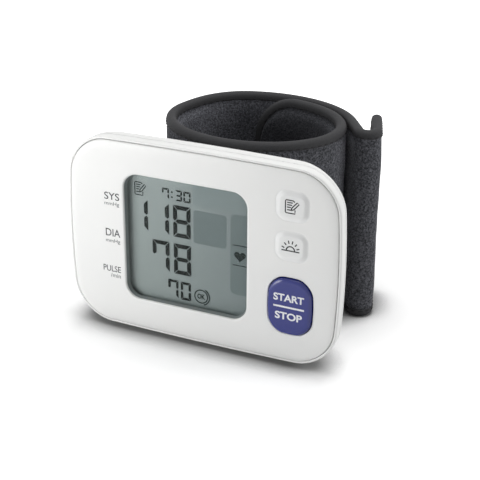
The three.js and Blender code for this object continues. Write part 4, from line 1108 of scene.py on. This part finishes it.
for stretch, (start, stop, _) in STRETCHES.items():
    bm = bmesh.new()
    for upper in ((True, False) if stretch == "wrap" else (True,)):
        loops = []
        for s, z, in_s, in_z in rim_route(start, stop, EDGING_PACE):
            sway = 0.07 * math.sin(s * 2.4 + z * 1.9) + 0.05 * math.sin(s * 0.9)
            rim_z, way = (z, in_z) if upper else (CUFF_HEIGHT - z, -in_z)
            loops.append([
                cuff_at(s + in_s * deep, out, rim_z + way * deep) for deep, out in tape_section(s, sway)])
        made = loft(bm, loops)
        bm.faces.new(made[0])
        bm.faces.new(made[-1])
    edging = piece(f"{stretch}_edging", bm, tape, crease=70)
    carry(edging, stretch)
    name = "cuff" if stretch == "ring" else stretch
    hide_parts(f"{name}_binding_top", f"{name}_binding_bottom")

# Stitching
# One row of charcoal thread through the tape, seen on both faces of the cuff.
# Every stitch is a short bead of thread that lies along the seam, dull and darker than the tape.
STITCH_PITCH = 2.5
STITCH_LENGTH = 1.8
THREAD = 0.23
STITCH_IN = 2.2
STITCH_OUT = 0.2
SEAM_PACE = 0.6
thread = ink("charcoal_thread", "#1E1E20", 0.6)


def shape_tree(name, **inputs):
    """A shape graph with its named inputs, whose output is joined up by the caller."""
    tree = bpy.data.node_groups.new(name, "GeometryNodeTree")
    tree.interface.new_socket("Geometry", in_out="OUTPUT", socket_type="NodeSocketGeometry")
    for label, kind in {"Geometry": "Geometry", **inputs}.items():
        tree.interface.new_socket(label, in_out="INPUT", socket_type=f"NodeSocket{kind}")
    return tree, node(tree, "NodeGroupInput").outputs


def set_down(tree, given, spots, shape, turned, size):
    """Sets a copy of a shape on every spot, as plain mesh in the given material."""
    rows = node(tree, "GeometryNodeInstanceOnPoints", {
        "Points": spots.outputs["Points"], "Instance": shape.outputs[0], "Rotation": turned, "Scale": size})
    solid = node(tree, "GeometryNodeRealizeInstances", {"Geometry": rows.outputs[0]})
    dyed = node(tree, "GeometryNodeSetMaterial", {
        "Geometry": solid.outputs[0], "Material": given["Material"]})
    node(tree, "NodeGroupOutput", {"Geometry": dyed.outputs[0]})


def shaped(name, bm, tree, **values):
    """The plain mesh that a shape graph makes from a mesh and its input values."""
    mesh = bpy.data.meshes.new(name)
    bm.to_mesh(mesh)
    bm.free()
    made = bpy.data.objects.new(name, mesh)
    bpy.context.collection.objects.link(made)
    graph = made.modifiers.new(name, "NODES")
    graph.node_group = tree
    for socket in tree.interface.items_tree:
        if socket.in_out == "INPUT" and socket.name in values:
            graph[socket.identifier] = values[socket.name]
    ready = made.evaluated_get(bpy.context.evaluated_depsgraph_get())
    made.data = bpy.data.meshes.new_from_object(ready)
    made.modifiers.clear()
    bpy.data.meshes.remove(mesh)
    return made


sewing, given = shape_tree(
    "sewn_row", Pitch="Float", Length="Float", Thread="Float", Material="Material")
seam = node(sewing, "GeometryNodeMeshToCurve", {"Mesh": given["Geometry"]})
spots = node(sewing, "GeometryNodeCurveToPoints", {
    "Curve": seam.outputs[0], "Length": given["Pitch"]}, mode="LENGTH")
along = node(sewing, "FunctionNodeAlignRotationToVector", {"Vector": spots.outputs["Tangent"]}, axis="Z")
reach = node(sewing, "ShaderNodeMath", {0: given["Length"], 1: 0.5}, operation="MULTIPLY")
size = node(sewing, "ShaderNodeCombineXYZ", {
    "X": given["Thread"], "Y": given["Thread"], "Z": reach.outputs[0]})
bead = node(sewing, "GeometryNodeMeshUVSphere", {"Segments": 6, "Rings": 5, "Radius": 1.0})
set_down(sewing, given, spots, bead, along.outputs[0], size.outputs[0])

for stretch, (start, stop, _) in STRETCHES.items():
    bm = bmesh.new()
    for face_side in (1, -1):
        for upper in ((True, False) if stretch == "wrap" else (True,)):
            line = []
            for s, z, in_s, in_z in rim_route(start, stop, SEAM_PACE):
                up = z + in_z * STITCH_IN
                out = half_at(s) + STITCH_OUT if face_side > 0 else -inner_at(s, 0) - STITCH_OUT
                line.append(bm.verts.new(cuff_at(
                    s + in_s * STITCH_IN, out, up if upper else CUFF_HEIGHT - up)))
            for a, b in zip(line, line[1:]):
                bm.edges.new((a, b))
    stitches = shaped(f"{stretch}_stitches", bm, sewing, Pitch=STITCH_PITCH * MM, Length=STITCH_LENGTH * MM,
                      Thread=THREAD * MM, Material=thread)
    stitches.data.shade_smooth()
    carry(stitches, stretch)

# Loop pile
# The cuff's outer cloth is a knitted nylon whose raised loops take the hooks of the pull tail.
# Each loop is an arch of yarn, set down at random and leaning its own way.
LOOPS_PER_MM2 = 1.25
LOOP_SIZE = 0.36
YARN = 0.085
LEAN = 0.6
SMALLEST, LARGEST = 0.65, 1.3
PILE_SINK = 0.06
PILE_PACE = 1.6
pile, given = shape_tree(
    "loop_pile", Density="Float", Loop="Float", Yarn="Float", Seed="Int", Material="Material")
spots = node(pile, "GeometryNodeDistributePointsOnFaces", {
    "Mesh": given["Geometry"], "Density": given["Density"], "Seed": given["Seed"]})
arch = node(pile, "GeometryNodeCurveArc", {
    "Resolution": 4, "Radius": given["Loop"], "Start Angle": 0.0, "Sweep Angle": math.pi})
upright = node(pile, "GeometryNodeTransform", {
    "Geometry": arch.outputs["Curve"], "Rotation": (math.pi / 2, 0, 0)})
yarn = node(pile, "GeometryNodeCurvePrimitiveCircle", {"Resolution": 3, "Radius": given["Yarn"]})
strand = node(pile, "GeometryNodeCurveToMesh", {
    "Curve": upright.outputs[0], "Profile Curve": yarn.outputs["Curve"]})
lean = node(pile, "FunctionNodeRandomValue", {
    0: (-LEAN, -LEAN, 0), 1: (LEAN, LEAN, 2 * math.pi), "Seed": given["Seed"]}, data_type="FLOAT_VECTOR")
leaning = node(pile, "FunctionNodeEulerToRotation", {0: lean.outputs[0]})
way = node(pile, "FunctionNodeRotateRotation", {
    "Rotation": spots.outputs["Rotation"], "Rotate By": leaning.outputs[0]}, rotation_space="LOCAL")
scale = node(pile, "FunctionNodeRandomValue", {
    2: SMALLEST, 3: LARGEST, "Seed": given["Seed"]}, data_type="FLOAT")
set_down(pile, given, spots, strand, way.outputs[0], scale.outputs[1])

# The yarn is the same nylon, flecked paler: heathered yarn and painted glints on the loops.
yarn_dye_and_glints = cuff_cloth("charcoal_pile_yarn", "#3E3F44", "#9C9DA5", 1.1, 0.5, 0.3)
for seed, (stretch, (start, stop, _)) in enumerate(STRETCHES.items(), 11):
    bm = bmesh.new()
    outer = [loop[1:ROWS - 1] for loop in cuff_loops(start, stop, PILE_PACE)]
    grid = [[bm.verts.new(cuff_at(s, out - PILE_SINK, z)) for s, out, z in row] for row in outer]
    for low, high in zip(grid, grid[1:]):
        for i in range(len(low) - 1):
            bm.faces.new((low[i], high[i], high[i + 1], low[i + 1]))
    loops = shaped(f"{stretch}_pile", bm, pile, Density=LOOPS_PER_MM2 / MM ** 2, Loop=LOOP_SIZE * MM,
                   Yarn=YARN * MM, Seed=seed, Material=yarn_dye_and_glints)
    loops.data.shade_smooth()
    carry(loops, stretch)
